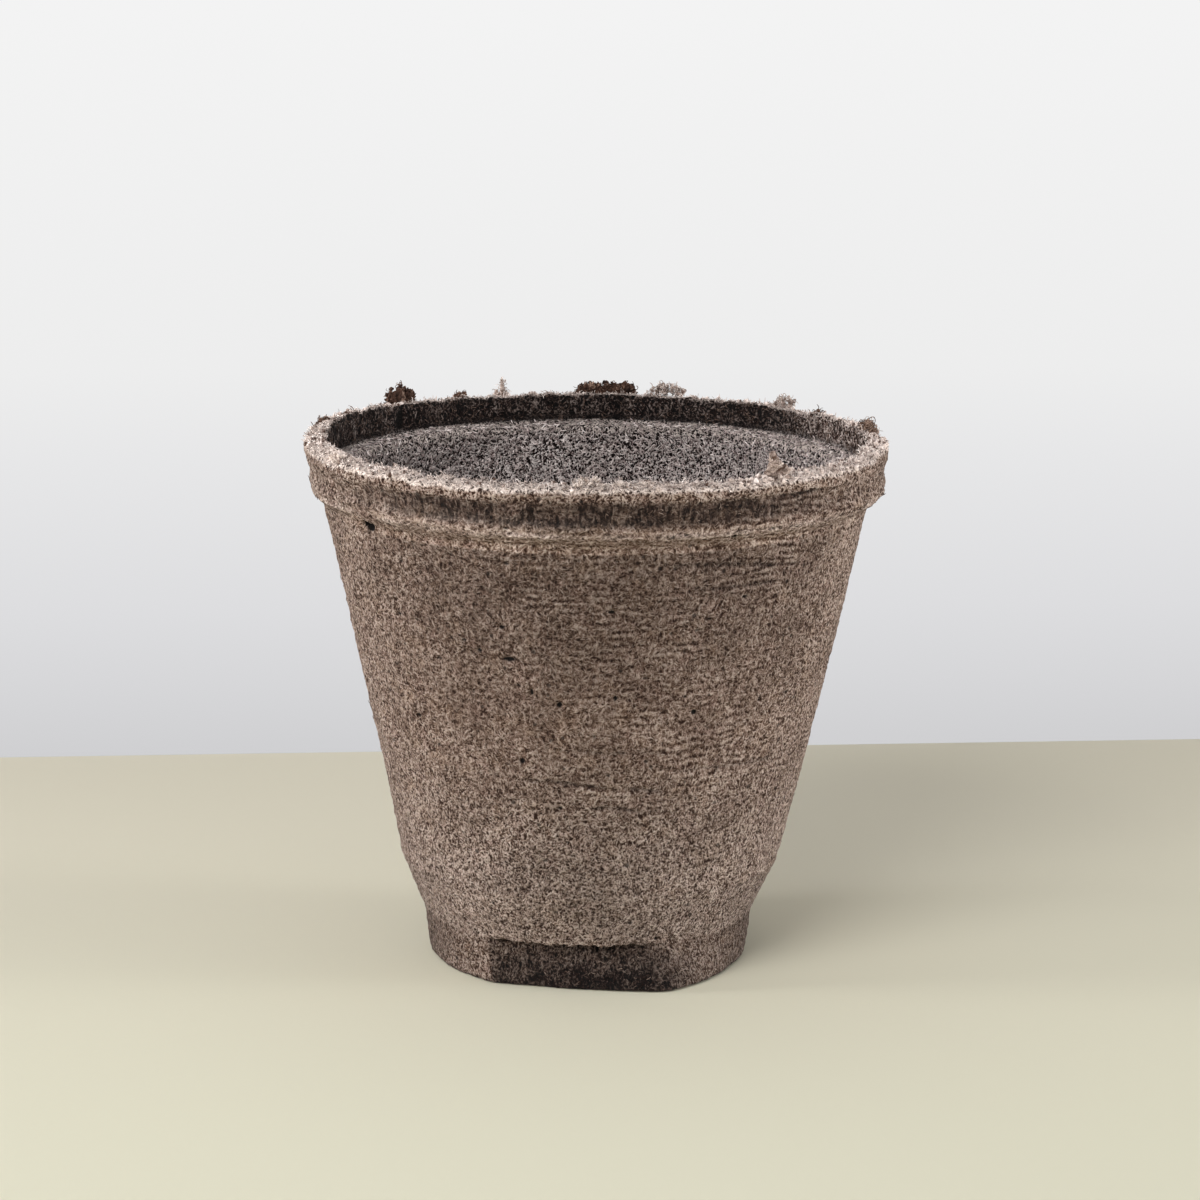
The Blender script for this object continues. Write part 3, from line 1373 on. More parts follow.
    def _surface_normals(self) -> np.ndarray:
        """Outward directions of the finished surface."""
        up, across = (np.roll(self.points, -1, axis) - np.roll(self.points, 1, axis) for axis in (0, 1))
        return unit(np.cross(across, up))

    def section(self, name: str, runs: tuple[tuple[Zone, Zone], ...]) -> bpy.types.Object:
        """Make one closed section of the shell.

        Args:
            name: Name of the piece.
            runs: First and last zone of each run of rows. Flat faces join the runs to each other.

        Returns:
            The section as an object.
        """
        total = len(self.rows.radius)
        loop, cuts = [], []
        for first, last in runs:
            inside = np.flatnonzero((self.rows.zone >= first.value) & (self.rows.zone <= last.value))
            if first.value > last.value:
                before = np.flatnonzero(self.rows.zone >= first.value)
                inside = np.concatenate((before, np.flatnonzero(self.rows.zone <= last.value)))
            run = np.append(inside, (inside[-1] + 1) % total)
            cuts += [len(loop), len(loop) + len(run) - 1]
            loop += list(run)
        here = np.arange(len(loop))[:, None] * self.columns
        ahead = np.roll(here, -1, axis=0)
        column = np.arange(self.columns)[None]
        beside = (column + 1) % self.columns
        quads = np.stack((here + column, here + beside, ahead + beside, ahead + column), axis=-1)
        mesh = mesh_from_faces(name, self.points[loop].reshape(-1, 3) * MM, [quads.reshape(-1, 4)])
        for mark, values in self.marks.items():
            hold_values(mesh, mark, values[loop])
        self._sharpen(mesh, cuts)
        self._unwrap(mesh, loop)
        return add_object(name, mesh)

    def _sharpen(self, mesh: bpy.types.Mesh, cuts: list[int]) -> None:
        """Keep the shading of the fibre apart from the flat faces at the cuts.

        Args:
            mesh: The section's mesh.
            cuts: Rows of the section where a cut starts or ends.
        """
        ends = np.zeros(len(mesh.edges) * 2, np.int32)
        mesh.edges.foreach_get("vertices", ends)
        rows = ends.reshape(-1, 2) // self.columns
        sharp = (rows[:, 0] == rows[:, 1]) & np.isin(rows[:, 0], cuts)
        mesh.attributes.new("sharp_edge", "BOOLEAN", "EDGE").data.foreach_set("value", sharp)

    def _unwrap(self, mesh: bpy.types.Mesh, loop: list[int]) -> None:
        """Lay the section out flat: the angle across, and the way round the outline upwards.

        Args:
            mesh: The section's mesh.
            loop: Rows of the shell that it holds, in order.
        """
        place = np.stack((self.rows.radius[loop], self.rows.height[loop]), axis=1)
        steps = np.linalg.norm(np.roll(place, -1, axis=0) - place, axis=1) + 0.05
        rise = np.concatenate(([0.0], np.cumsum(steps))) / steps.sum()
        low, high = np.repeat(rise[:-1], self.columns), np.repeat(rise[1:], self.columns)
        left = np.tile(np.arange(self.columns) / self.columns, len(loop))
        right = left + 1.0 / self.columns
        uv = np.stack((left, low, right, low, right, high, left, high), axis=1)
        mesh.uv_layers.new(name=UNROLLED).data.foreach_set("uv", uv.astype(np.float32).ravel())

    def scatter(self, rows: np.ndarray, count: int, rng: np.random.Generator) -> tuple[np.ndarray, ...]:
        """Pick places on the surface, evenly by area.

        Args:
            rows: Which rows may be used.
            count: Number of places to try. Those in pits are left out.
            rng: Source of random numbers.

        Returns:
            The places, the outward directions there and the directions round the pot.
        """
        weights = np.where(rows, self.rows.radius * np.abs(np.gradient(self.rows.along)), 0.0)
        row = rng.choice(len(weights), count, p=weights / weights.sum())
        column = rng.integers(self.columns, size=count)
        clear = self.marks["pit"][row, column] < 0.3
        row, column, count = row[clear], column[clear], int(clear.sum())
        share = rng.random((count, 2))
        beside = (column + 1) % self.columns
        above = (row + 1) % len(weights)
        low = self.points[row, column] * (1 - share[:, :1]) + self.points[row, beside] * share[:, :1]
        high = self.points[above, column] * (1 - share[:, :1]) + self.points[above, beside] * share[:, :1]
        place = low * (1 - share[:, 1:]) + high * share[:, 1:]
        angle = np.arctan2(place[:, 1], place[:, 0])
        around = np.stack((-np.sin(angle), np.cos(angle), np.zeros(count)), axis=1)
        return place, self.normals[row, column], around


def mesh_from_faces(name: str, points: np.ndarray, faces: list[np.ndarray]) -> bpy.types.Mesh:
    """Make a smooth mesh.

    Args:
        name: Name of the mesh.
        points: Places in metres.
        faces: Arrays of corner numbers, each with faces of one kind.

    Returns:
        The mesh.
    """
    mesh = bpy.data.meshes.new(name)
    mesh.vertices.add(len(points))
    mesh.vertices.foreach_set("co", np.ascontiguousarray(points, np.float32).ravel())
    corners = np.concatenate([group.ravel() for group in faces]).astype(np.int32)
    sizes = np.concatenate([np.full(len(group), group.shape[1]) for group in faces])
    mesh.loops.add(len(corners))
    mesh.loops.foreach_set("vertex_index", corners)
    mesh.polygons.add(len(sizes))
    mesh.polygons.foreach_set("loop_start", (np.cumsum(sizes) - sizes).astype(np.int32))
    mesh.update(calc_edges=True)
    mesh.shade_smooth()
    return mesh


def hold_values(mesh: bpy.types.Mesh, name: str, values: np.ndarray) -> None:
    """Let a mesh hold a value at each point, for its finish to read."""
    held = mesh.attributes.new(name, "FLOAT", "POINT")
    held.data.foreach_set("value", values.astype(np.float32).ravel())


def add_object(name: str, mesh: bpy.types.Mesh) -> bpy.types.Object:
    """Put a mesh into the scene.

    Args:
        name: Name of the object.
        mesh: The mesh.

    Returns:
        The object.
    """
    made = bpy.data.objects.new(name, mesh)
    bpy.context.scene.collection.objects.link(made)
    return made


def register(piece: bpy.types.Object, material: bpy.types.Material, slot: str, *nodes: str) -> None:
    """Give a piece its material, its slot, the nodes that it stands for and its body.

    Args:
        piece: The piece.
        material: Its finish.
        slot: The record's material slot.
        nodes: CAD nodes that it replaces.
    """
    piece.data.materials.append(material)
    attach(piece, BODY)
    if nodes:
        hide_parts(*nodes)
    stands_for = ", ".join(nodes) or "nothing"
    LOG.info("%s: %d faces, stands for %s", piece.name, len(piece.data.polygons), stands_for)


@dataclass
class FibreHeap:
    """Strands and crumbs that become one mesh, with a tone for each point. Lengths are millimetres."""

    sides: int = 3
    points: list[np.ndarray] = field(default_factory=list)
    tones: list[np.ndarray] = field(default_factory=list)
    quads: list[np.ndarray] = field(default_factory=list)
    triangles: list[np.ndarray] = field(default_factory=list)
    count: int = 0

    def _add(self, points: np.ndarray, tones: np.ndarray, quads: np.ndarray, triangles: np.ndarray) -> None:
        """Add points and their faces.

        Args:
            points: The points.
            tones: Tone of each point.
            quads: Faces with four corners, which count from the first of these points.
            triangles: Faces with three corners.
        """
        self.points.append(points)
        self.tones.append(tones)
        self.quads.append(quads + self.count)
        self.triangles.append(triangles + self.count)
        self.count += len(points)

    def add_strands(self, paths: np.ndarray, thickness: np.ndarray, tones: np.ndarray) -> None:
        """Add closed strands.

        Args:
            paths: Points along each strand, as strand, step and axis.
            thickness: Diameter of each strand.
            tones: Tone of each strand, from 0, deep, to 1, pale.
        """
        strands, steps = paths.shape[:2]
        run = unit(np.gradient(paths, axis=1))
        aside = unit(np.cross(run, run[:, :1] + np.array((0.31, 0.17, 0.93))))
        across = np.cross(run, aside)
        taper = np.full(steps, 0.5)
        taper[0], taper[-1] = 0.34, 0.20
        turn = np.arange(self.sides) * (math.tau / self.sides)
        ring = aside[:, :, None] * np.cos(turn)[:, None] + across[:, :, None] * np.sin(turn)[:, None]
        points = paths[:, :, None] + ring * (thickness[:, None] * taper[None])[:, :, None, None]
        start = (np.arange(strands) * steps * self.sides)[:, None, None]
        step = (np.arange(steps - 1) * self.sides)[None, :, None]
        side = np.arange(self.sides)[None, None]
        beside = (side + 1) % self.sides
        low, high = start + step, start + step + self.sides
        quads = np.stack(np.broadcast_arrays(low + side, low + beside, high + beside, high + side), axis=-1)
        first = start[:, 0] + np.arange(self.sides)[::-1]
        last = start[:, 0] + (steps - 1) * self.sides + np.arange(self.sides)
        shades = np.repeat(tones, steps * self.sides)
        self._add(points.reshape(-1, 3), shades, quads.reshape(-1, 4), np.concatenate((first, last)))

    def add_lump(
        self, matrix: np.ndarray, noise: GradientNoise, split: int, rough: float, tone: float
    ) -> None:
        """Add one crumbly lump.

        Args:
            matrix: Three columns for its half sizes and directions, and a fourth for its middle.
            noise: Noise that roughens it.
            split: How often its sphere is split.
            rough: How rough it is, as a share of its size.
            tone: Its tone, from 0, deep, to 1, pale.
        """
        form = bmesh.new()
        bmesh.ops.create_icosphere(form, subdivisions=split, radius=1.0)
        ball = np.array([vert.co for vert in form.verts])
        faces = np.array([[vert.index for vert in face.verts] for face in form.faces])
        form.free()
        middle = matrix[:, 3]
        creases = np.abs(noise.sample(ball + middle + 9.0, 0.6))
        swell = noise.sample(ball + middle, 0.9) + 0.35 - 1.2 * creases
        swell = swell + 0.5 * noise.sample(ball + middle + 4.0, 0.28)
        ball = ball * (1.0 + rough * swell)[:, None]
        tones = np.clip(tone + 0.25 * swell, 0.0, 1.0)
        self._add(ball @ matrix[:, :3].T + middle, tones, np.zeros((0, 4), int), faces)

    def build(self, name: str) -> bpy.types.Object:
        """Make the mesh and its object.

        Args:
            name: Name of the piece.

        Returns:
            The heap as one object.
        """
        groups = (np.concatenate(self.quads), np.concatenate(self.triangles))
        faces = [group for group in groups if len(group)]
        mesh = mesh_from_faces(name, np.concatenate(self.points) * MM, faces)
        hold_values(mesh, "tone", np.concatenate(self.tones))
        return add_object(name, mesh)


def curled_paths(
    starts: np.ndarray,
    headings: np.ndarray,
    lengths: np.ndarray,
    curls: np.ndarray,
    steps: int,
    rng: np.random.Generator,
) -> np.ndarray:
    """Walk strands forward while they turn about an axis of their own.

    Args:
        starts: First point of each strand.
        headings: First direction of each strand.
        lengths: Length of each strand.
        curls: Whole turn of each strand, in radians.
        steps: Points in each strand.
        rng: Source of random numbers.

    Returns:
        Points along each strand, as strand, step and axis.
    """
    heading = unit(headings)
    axis = unit(np.cross(heading, rng.normal(size=heading.shape)))
    turn = (curls / (steps - 1))[:, None]
    pace = (lengths / (steps - 1))[:, None]
    path = [starts]
    for _ in range(steps - 1):
        path.append(path[-1] + heading * pace)
        heading = heading * np.cos(turn) + np.cross(axis, heading) * np.sin(turn)
        axis = unit(axis + 0.35 * rng.normal(size=axis.shape))
        axis = unit(axis - heading * (axis * heading).sum(-1, keepdims=True))
    return np.stack(path, axis=1)


@dataclass(frozen=True)
class Nap:
    """How loose fibres lie on one part of the surface. Lengths are millimetres."""

    name: str
    slot: str
    zones: tuple[Zone, ...]
    count: int
    length: Pair
    thickness: Pair
    lift: Pair
    curl: float
    tone: Pair
    lowest: float
    steps: int = 4
    root_depth: float = 0.06
    free_share: float = 0.35
    free_rise: float = 1.3
    arch_end: float = 0.97
    finish: StrandFinish = StrandFinish((80, 64, 55), (132, 114, 104), (182, 165, 154))

    def build(self, shell: MouldedShell, seed: int) -> bpy.types.Object:
        """Lay the fibres.

        Args:
            shell: The surface that they lie on.
            seed: Number that fixes where they lie.

        Returns:
            The fibres as one object.
        """
        rng = np.random.default_rng(seed)
        rows = shell.rows.on(*self.zones) & (shell.rows.height > self.lowest)
        place, outward, around = shell.scatter(rows, self.count, rng)
        count = len(place)
        rise = np.cross(outward, around)
        angle = rng.uniform(0.0, math.tau, count)
        length = rng.uniform(*self.length, count)
        bend = rng.normal(0.0, self.curl, count)
        lift = rng.uniform(*self.lift, count)
        free_end = rng.random(count) < self.free_share
        path = [place - outward * self.root_depth]
        steps = self.steps - 1
        for step in range(1, steps + 1):
            share = step / steps
            last = share - 1 / steps
            turn = angle + bend * share
            flat = around * np.cos(turn)[:, None] + rise * np.sin(turn)[:, None]
            level = np.where(free_end, share**self.free_rise, math.sin(math.pi * min(share, self.arch_end)))
            before = np.where(free_end, last**self.free_rise, math.sin(math.pi * last))
            ahead = path[-1] + flat * (length / steps)[:, None]
            path.append(ahead + outward * (lift * (level - before))[:, None])
        heap = FibreHeap()
        tones = rng.uniform(*self.tone, count)
        heap.add_strands(np.stack(path, axis=1), rng.uniform(*self.thickness, count), tones)
        return heap.build(self.name)


@dataclass(frozen=True)
class CrownFuzz:
    """Short pale fibres that stand up along the torn crown. Lengths are millimetres."""

    name: str = "crown_fuzz"
    slot: str = "collar_fibre"
    count: int = 8000
    crumbs: int = 1600
    length: Pair = (0.45, 1.2)
    thickness: Pair = (0.09, 0.19)
    curl: float = 3.6
    steps: int = 5
    root_depth: float = 0.1
    outer_depth: float = 0.5
    inner_depth: float = 0.3
    crumb_size: Pair = (0.15, 0.42)
    crumb_rough: float = 0.4
    finish: StrandFinish = StrandFinish((74, 54, 45), (210, 193, 184), (246, 234, 228))

    def build(self, shell: MouldedShell, seed: int) -> bpy.types.Object:
        """Set the fibres.

        Args:
            shell: The surface that they stand on.
            seed: Number that fixes where they stand.

        Returns:
            The fibres as one object.
        """
        rng = np.random.default_rng(seed)
        lowest = np.where(shell.outer, self.outer_depth, self.inner_depth)
        rows = shell.rows.on(Zone.CROWN) & (shell.depth < lowest) & (shell.rows.upward > 0.5)
        place, outward, around = shell.scatter(rows, self.count, rng)
        count = len(place)
        heading = outward * 0.55 + rng.normal(size=place.shape) * 0.6
        heading = heading + around * rng.normal(size=(count, 1)) * 0.5
        length = rng.uniform(*self.length, count) * rng.choice((0.7, 1.0, 1.25), count)
        curls = rng.normal(0.0, self.curl, count)
        starts = place - outward * self.root_depth
        paths = curled_paths(starts, heading, length, curls, self.steps, rng)
        heap = FibreHeap()
        noise = GradientNoise(seed)
        tones = np.clip(rng.normal(0.55, 0.25, count) + 0.3 * noise.sample(place, 3.5), 0.0, 1.0)
        heap.add_strands(paths, rng.uniform(*self.thickness, count), tones)
        place, outward, _ = shell.scatter(rows, self.crumbs, rng)
        cluster = noise.sample(place, 7.0) + 0.5 * noise.sample(place + 5.0, 2.4)
        for middle, up, share in zip(place, outward, cluster):
            if share > rng.uniform(-0.1, 0.8):
                half = rng.uniform(*self.crumb_size) * rng.uniform(0.7, 1.4, 3)
                raised = middle + up * half[2] * 0.5
                matrix = np.concatenate((np.diag(half), raised[:, None]), axis=1)
                tone = float(np.clip(rng.normal(0.35, 0.3), 0.0, 1.0))
                heap.add_lump(matrix, noise, 2, self.crumb_rough, tone)
        return heap.build(self.name)


class ScrapKind(Enum):
    """Kinds of torn scrap on the rim."""

    CHUNK = auto()
    FLAKE = auto()
    FLUFF = auto()
    FINGER = auto()
    TWIG = auto()


@dataclass
class RimScrap:
    """One torn scrap of fibre that stands for a tuft of the part. Lengths are millimetres.

    Its axes are outward, along the rim and up, and its size and the shares of it follow them. Each lump
    has a middle, half sizes and a roughness.
    """

    node: str
    kind: ScrapKind
    slot: str
    lumps: int
    strands: int
    tone: float
    lean: float = 0.0
    sunk: float = 0.6
    raised: float = -0.1
    large: float = 0.9
    large_split: int = 5
    small_split: int = 3
    strand_length: Pair = (0.8, 2.1)
    strand_turn: Pair = (2.0, 6.5)
    strand_thickness: Pair = (0.08, 0.18)
    strand_steps: int = 8
    rng: np.random.Generator = field(init=False)
    noise: GradientNoise = field(init=False)
    heap: FibreHeap = field(init=False)
    seat: np.ndarray = field(init=False)
    axes: np.ndarray = field(init=False)
    size: np.ndarray = field(init=False)

    def _measure(self) -> None:
        """Take the seat, the axes and the size from the tuft that the scrap stands for."""
        points = np.array([vert.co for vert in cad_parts[self.node].data.vertices]) / MM
        middle = (points.min(0) + points.max(0)) / 2
        outward = unit(np.array((middle[0], middle[1], 0.0)))
        axes = np.stack((outward, np.cross((0.0, 0.0, 1.0), outward), (0.0, 0.0, 1.0)))
        local = (points - middle) @ axes.T
        size = local.max(0) - local.min(0)
        self.seat = middle + axes[2] * (self.raised - self.sunk - size[2] / 2)
        self.axes = axes
        self.size = size + np.array((0.0, 0.0, self.sunk))

    def build(self, seed: int) -> bpy.types.Object:
        """Pile up the scrap.

        Args:
            seed: Number that fixes its shape.

        Returns:
            The scrap as one object.
        """
        self.rng = np.random.default_rng(seed)
        self.noise = GradientNoise(seed)
        self.heap = FibreHeap()
        self._measure()
        self._strew(self._pile())
        return self.heap.build(f"{self.node}_scrap")

    def _pile(self) -> np.ndarray:
        """Add the lumps and crumbs.

        Returns:
            Their middles, where strands start.
        """
        cores = {
            ScrapKind.CHUNK: self._chunk,
            ScrapKind.FLAKE: self._flake,
            ScrapKind.FINGER: self._finger,
            ScrapKind.TWIG: self._finger,
        }
        large = cores[self.kind]() if self.kind in cores else []
        middles = []
        for at, half, rough in (*large, *self._crumbs()):
            middle = self.seat + at @ self.axes
            spin = np.array(Euler(self.rng.uniform(-0.45, 0.45, 3)).to_matrix())
            matrix = np.concatenate((self.axes.T @ spin * half, middle[:, None]), axis=1)
            tone = np.clip(self.tone + self.rng.normal(0.0, 0.16), 0.0, 1.0)
            split = self.large_split if max(half) > self.large else self.small_split
            self.heap.add_lump(matrix, self.noise, split, rough, tone)
            middles.append(middle)
        return np.array(middles)

    def _chunk(self) -> list[Lump]:
        """Shape a row of lumps that is tallest in the middle.

        Returns:
            The lumps.
        """
        rng, lumps = self.rng, []
        for share in (-0.36, -0.22, -0.08, 0.08, 0.20, 0.34):
            tall = 0.50 - 0.9 * share**2
            at = np.array((rng.uniform(-0.15, 0.15), share, tall * rng.uniform(0.6, 1.0))) * self.size
            half = self.size * np.array((0.34, 0.17, 0.36 * tall / 0.5)) * rng.uniform(0.8, 1.2, 3)
            lumps.append((at, half, 0.45))
        return lumps

    def _flake(self) -> list[Lump]:
        """Shape a low, even row of lumps.

        Returns:
            The lumps.
        """
        rng, size, lumps = self.rng, self.size, []
        steps = max(2, round(size[1] / 1.2))
        for step in range(steps):
            share = (step + 0.5) / steps - 0.5
            at = np.array((rng.uniform(-0.1, 0.1), share, rng.uniform(0.30, 0.45))) * size
            half = np.array((0.34 * size[0], 0.62 * size[1] / steps, 0.34 * size[2]))
            lumps.append((at, half * rng.uniform(0.8, 1.2, 3), 0.45))
        return lumps

    def _finger(self) -> list[Lump]:
        """Stack lumps into a leaning finger or a thin twig.

        Returns:
            The lumps.
        """
        rng, size, lumps = self.rng, self.size, []
        broad = 1.0 if self.kind is ScrapKind.FINGER else 0.30
        for share in np.arange(11) / 10:
            width = broad * (1.0 - 0.74 * share) * rng.uniform(0.94, 1.06)
            at = np.array((0.04 * rng.normal(), self.lean * share, 0.10 + 0.80 * share)) * size
            half = np.array((0.24 * size[0] * (1.1 - 0.6 * share), size[1] * width, size[2] * 0.14))
            lumps.append((at, half, 0.22))
        return lumps

    def _crumbs(self) -> list[Lump]:
        """Scatter the many crumbs, which thin out towards the ends.

        Returns:
            The crumbs.
        """
        rng, crumbs = self.rng, []
        tall, largest = (0.66, 0.34) if self.kind is ScrapKind.FLUFF else (0.78, 0.5)
        for _ in range(self.lumps):
            along = rng.uniform(-0.52, 0.52)
            dome = max(0.0, 1.0 - abs(along / 0.56) ** 2.2) ** 0.6
            at = np.array((rng.normal(0.0, 0.17), along, 0.10 + rng.uniform(0.0, tall) * dome)) * self.size
            if self.kind in (ScrapKind.FINGER, ScrapKind.TWIG):
                at[2] = abs(rng.normal(0.0, 0.16)) * self.size[2]
            half = rng.uniform(0.15, largest) * rng.uniform(0.65, 1.25, 3)
            crumbs.append((at, half, 0.5))
        return crumbs

    def _strew(self, starts: np.ndarray) -> None:
        """Add tightly curled strands that stick out of the crumbs.

        Args:
            starts: Middles of the lumps and crumbs.
        """
        rng, count = self.rng, self.strands
        start = starts[rng.integers(len(starts), size=count)]
        start = start + (rng.normal(size=(count, 3)) * np.array((0.22, 0.30, 0.12))) @ self.axes
        heading = rng.normal(size=(count, 3)) + self.axes[2] * 0.3
        length = rng.uniform(*self.strand_length, count)
        turn = rng.choice((-1.0, 1.0), count) * rng.uniform(*self.strand_turn, count)
        paths = curled_paths(start, heading, length, turn, self.strand_steps, rng)
        low = starts[:, 2].min() - 0.4
        high = starts[:, 2].min() + self.size[2] * 1.02
        paths[..., 2] = np.clip(paths[..., 2], low, high)
        tones = np.clip(self.tone + rng.normal(0.15, 0.22, count), 0.0, 1.0)
        self.heap.add_strands(paths, rng.uniform(*self.strand_thickness, count), tones)


@dataclass(frozen=True)
class PhotoCamera:
    """A camera at the photograph's viewing angle. Angles are degrees."""

    lens: float = 118.36
    sensor: float = 36.0
    distance: float = 0.7204
    height: float = 0.2183
    azimuth: float = 10.18
    pitch: float = 11.867
    yaw: float = 0.0744
    roll: float = 0.396

    def build(self) -> None:
        """Add the camera and make it the scene's own."""
        data = bpy.data.cameras.new("photo_camera")
        data.lens = self.lens
        data.sensor_width = self.sensor
        camera = bpy.data.objects.new("photo_camera", data)
        bpy.context.scene.collection.objects.link(camera)
        turn = math.radians(self.azimuth)
        place = Vector((math.sin(turn) * self.distance, -math.cos(turn) * self.distance, self.height))
        aim = Matrix.Rotation(turn - math.radians(self.yaw), 4, "Z")
        tilt = Matrix.Rotation(math.radians(90.0 - self.pitch), 4, "X")
        roll = Matrix.Rotation(math.radians(self.roll), 4, "Z")
        camera.matrix_world = Matrix.Translation(place) @ aim @ tilt @ roll
        bpy.context.scene.camera = camera


@dataclass(frozen=True)
class Softbox:
    """A square soft light. Its place is right of, behind and above the pot as the camera sees it."""

    name: str
    place: Triple
    size: float
    power: float
    spread: float = 180.0


@dataclass(frozen=True)
class Studio:
    """A plain pale floor, a pale backdrop beyond its far edge, and soft lights."""

    azimuth: float
    floor_reach: float = 6.0
    floor_drop: float = 0.00006
    floor_near: Colour = (214, 211, 190)
    floor_far: Colour = (209, 203, 185)
    floor_roughness: float = 0.9
    floor_gloss: float = 0.1
    backdrop: tuple[Stop, ...] = (
        (0.00, (207, 207, 209)),
        (0.07, (214, 214, 216)),
        (0.15, (221, 221, 223)),
        (0.31, (231, 231, 232)),
        (0.40, (237, 237, 237)),
        (0.76, (243, 243, 243)),
    )
    backdrop_reach: float = 0.72
    edge_angle: float = 105.35
    edge_distance: float = 0.1534
    edge_softness: float = 0.0003
    near_distance: float = -0.16
    fill: float = 0.45
    aim: Triple = (0.0, 0.0, 0.05)
    softboxes: tuple[Softbox, ...] = (
        Softbox("left_softbox", (-1.0, -0.1, 0.13), 0.3, 0.55, 40.0),
        Softbox("right_softbox", (1.0, -0.1, 0.09), 0.3, 0.77, 40.0),
        Softbox("key_softbox", (-0.5, -0.9, 0.7), 0.7, 11.0),
        Softbox("top_softbox", (-0.25, 0.35, 1.1), 1.0, 0.8),
    )

    def build(self) -> None:
        """Add the floor, the lights and the world."""
        self._floor()
        turn = Matrix.Rotation(math.radians(self.azimuth), 4, "Z")
        for box in self.softboxes:
            data = bpy.data.lights.new(box.name, "AREA")
            data.shape = "SQUARE"
            data.size = box.size
            data.energy = box.power
            data.spread = math.radians(box.spread)
            lamp = bpy.data.objects.new(box.name, data)
            bpy.context.scene.collection.objects.link(lamp)
            place = turn @ Vector(box.place)
            look = (Vector(self.aim) - place).to_track_quat("-Z", "Y").to_matrix().to_4x4()
            lamp.matrix_world = Matrix.Translation(place) @ look
        self._world()

    def _floor(self) -> None:
        """Add the floor: one wide sheet whose far part is the backdrop."""
        reach = self.floor_reach
        corners = np.array(((-reach, -reach), (reach, -reach), (reach, reach), (-reach, reach)))
        points = np.concatenate((corners, np.full((4, 1), -self.floor_drop)), axis=1)
        mesh = mesh_from_faces("studio_floor", points, [np.array([[0, 1, 2, 3]])])
        floor = add_object("studio_floor", mesh)
        floor.data.materials.append(self._floor_material())

    def _seen(self, graph: Graph) -> Wire:
        """Rays that show the backdrop: straight to the camera, or by way of gloss or glass."""
        path = graph.node("ShaderNodeLightPath", output="Is Camera Ray")
        return path.larger(path.beside("Is Glossy Ray")).larger(path.beside("Is Transmission Ray"))

    def _floor_material(self) -> bpy.types.Material:
        """Make the pale matt floor, which keeps shadows, and the plain backdrop beyond its edge.

        Returns:
            The material.
        """
        material, graph = new_material("studio_floor")
        place = graph.node("ShaderNodeTexCoord", output="Object")
        normal = (math.cos(math.radians(self.edge_angle)), math.sin(math.radians(self.edge_angle)), 0.0)
        settings = {"operation": "DOT_PRODUCT"}
        away = graph.node("ShaderNodeVectorMath", settings, {0: place, 1: normal}, "Value")
        edge = self.edge_distance
        beyond = away.eased(edge - self.edge_softness, edge + self.edge_softness)
        tint = graph.mixed(away.eased(self.near_distance, edge), self.floor_near, self.floor_far)
        sockets = {
            "Base Color": tint,
            "Roughness": self.floor_roughness,
            "Specular IOR Level": self.floor_gloss,
        }
        matt = graph.node("ShaderNodeBsdfPrincipled", sockets=sockets)
        share = (away - edge) / (away + self.backdrop_reach)
        glow = graph.node("ShaderNodeEmission", sockets={"Color": graph.ramp(share, self.backdrop)})
        shown = beyond * self._seen(graph)
        surface = graph.node("ShaderNodeMixShader", sockets={0: shown, 1: matt, 2: glow})
        graph.finish(surface)
        return material

    def _world(self) -> None:
        """Give the world its weak fill light, and show it as the pale backdrop."""
        world = bpy.data.worlds.new("studio_world")
        world.use_nodes = True
        bpy.context.scene.world = world
        graph = Graph(world.node_tree)
        white, top = (1.0, 1.0, 1.0, 1.0), linear(self.backdrop[-1][1])
        fill = graph.node("ShaderNodeBackground", sockets={"Color": white, "Strength": self.fill})
        shown = graph.node("ShaderNodeBackground", sockets={"Color": top, "Strength": 1.0})
        mixed = graph.node("ShaderNodeMixShader", sockets={0: self._seen(graph), 1: fill, 2: shown})
        graph.node("ShaderNodeOutputWorld", {}, {"Surface": mixed})


SECTIONS = (
    ("rim_collar", "collar_fibre", ((Zone.COLLAR, Zone.THROAT),)),
    ("side_wall", "wall_fibre", ((Zone.WALL, Zone.WALL), (Zone.INNER_WALL, Zone.INNER_WALL))),
    ("foot", "foot_fibre", ((Zone.FOOT_UNDERSIDE, Zone.SHOULDER), (Zone.INNER_FOOT, Zone.INNER_FOOT))),
    ("base_floor", "floor_fibre", ((Zone.FLOOR, Zone.FLOOR_UNDERSIDE),)),
)

NAPS = (
    Nap(
        "wall_nap", "wall_fibre", (Zone.WALL, Zone.COLLAR, Zone.SHOULDER, Zone.FOOT),
        count=9000, length=(0.6, 1.4), thickness=(0.10, 0.19), lift=(0.03, 0.12),
        curl=1.5, tone=(0.0, 0.62), lowest=1.5,
    ),
    Nap(
        "inner_nap", "wall_fibre", (Zone.LEDGE, Zone.THROAT, Zone.INNER_WALL),
        count=9600, length=(0.7, 1.9), thickness=(0.15, 0.27), lift=(0.08, 0.34),
        curl=2.2, tone=(0.1, 1.0), lowest=64.0,
        finish=StrandFinish((72, 58, 55), (190, 172, 168), (252, 240, 236)),
    ),
    Nap(
        "band_nap", "collar_fibre", (Zone.BAND,),
        count=2300, length=(0.7, 1.7), thickness=(0.11, 0.21), lift=(0.05, 0.25),
        curl=2.2, tone=(0.0, 1.0), lowest=60.0,
        finish=StrandFinish((10, 6, 5), (36, 26, 22), (112, 92, 81)),
    ),
)

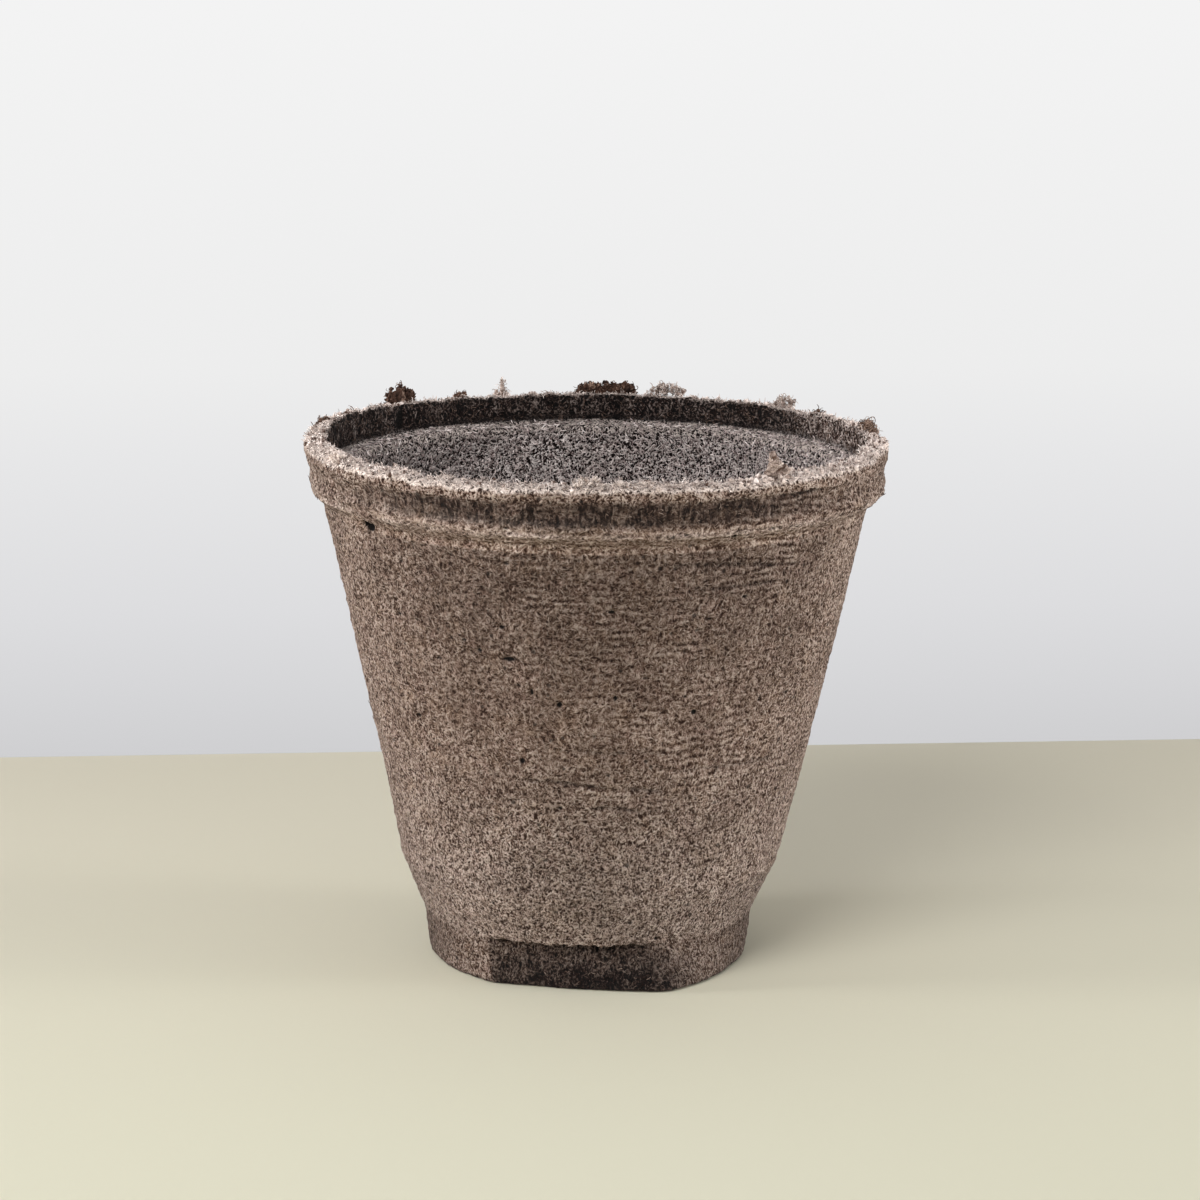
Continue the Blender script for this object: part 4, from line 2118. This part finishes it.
# Each row: the tuft, its kind, its slot, how many lumps and strands it has, and its tone.
SCRAPS = (
    RimScrap("rim_tuft_01", ScrapKind.CHUNK, "dark_tuft", 60, 70, 0.26, sunk=1.4, raised=1.0),
    RimScrap("rim_tuft_02", ScrapKind.FLAKE, "dark_tuft", 18, 40, 0.35, raised=0.5),
    RimScrap("rim_tuft_03", ScrapKind.TWIG, "pale_tuft", 16, 130, 0.5, sunk=1.3, raised=0.9),
    RimScrap("rim_tuft_04", ScrapKind.FLAKE, "dark_tuft", 110, 130, 0.28, sunk=1.2, raised=1.2),
    RimScrap("rim_tuft_05", ScrapKind.FLUFF, "pale_tuft", 60, 260, 0.40, sunk=1.4, raised=1.5),
    RimScrap("rim_tuft_06", ScrapKind.FLUFF, "pale_tuft", 36, 190, 0.40, sunk=1.5, raised=1.2),
    RimScrap("rim_tuft_07", ScrapKind.FLUFF, "dark_tuft", 12, 36, 0.4, raised=-0.2),
    RimScrap("rim_tuft_08", ScrapKind.FLUFF, "dark_tuft", 70, 320, 0.55, raised=-0.2),
    RimScrap("rim_tuft_09", ScrapKind.FINGER, "pale_tuft", 26, 180, 0.24, lean=-0.55, raised=0.3),
    RimScrap("rim_tuft_10", ScrapKind.FLUFF, "pale_tuft", 22, 110, 0.72, raised=0.15),
    RimScrap("rim_tuft_11", ScrapKind.FLUFF, "pale_tuft", 24, 120, 0.72, raised=0.15),
    RimScrap("rim_tuft_12", ScrapKind.FLUFF, "pale_tuft", 44, 220, 0.72, raised=0.15),
    RimScrap("rim_tuft_13", ScrapKind.FLAKE, "pale_tuft", 46, 150, 0.65),
    RimScrap("rim_tuft_14", ScrapKind.FLAKE, "dark_tuft", 24, 60, 0.4, raised=0.8),
)

SCRAP_FINISHES = {
    "dark_tuft": StrandFinish((30, 19, 15), (80, 57, 46), (176, 150, 133)),
    "pale_tuft": StrandFinish((78, 58, 49), (166, 148, 138), (228, 214, 206)),
}

FIBRE_SEED = 100
SCRAP_SEED = 200


def build_shell(sizes: PotSizes) -> MouldedShell:
    """Build the four sections of the moulding.

    Args:
        sizes: Sizes of the moulding.

    Returns:
        The shell, for what lies on it.
    """
    shell = MouldedShell(sizes)
    finish = MouldedFinish()
    for node, slot, runs in SECTIONS:
        piece = shell.section(f"{node}_moulding", runs)
        register(piece, finish.material(slot), slot, node)
    return shell


def build_fibres(shell: MouldedShell) -> None:
    """Lay the loose fibres on the shell.

    Args:
        shell: The shell.
    """
    for seed, nap in enumerate((*NAPS, CrownFuzz()), FIBRE_SEED):
        register(nap.build(shell, seed), nap.finish.material(nap.name), nap.slot)


def build_scraps() -> None:
    """Stand the torn scraps on the rim."""
    finishes = {slot: finish.material(slot) for slot, finish in SCRAP_FINISHES.items()}
    for seed, scrap in enumerate(SCRAPS, SCRAP_SEED):
        register(scrap.build(seed), finishes[scrap.slot], scrap.slot, scrap.node)


def main() -> None:
    """Build the pot, its camera and its studio."""
    logging.basicConfig(level=logging.INFO, format="%(message)s")
    bpy.context.scene.view_settings.view_transform = "Standard"
    camera = PhotoCamera()
    camera.build()
    Studio(camera.azimuth).build()
    shell = build_shell(PotSizes.from_frame())
    build_fibres(shell)
    build_scraps()


if __name__ == "__main__":
    main()
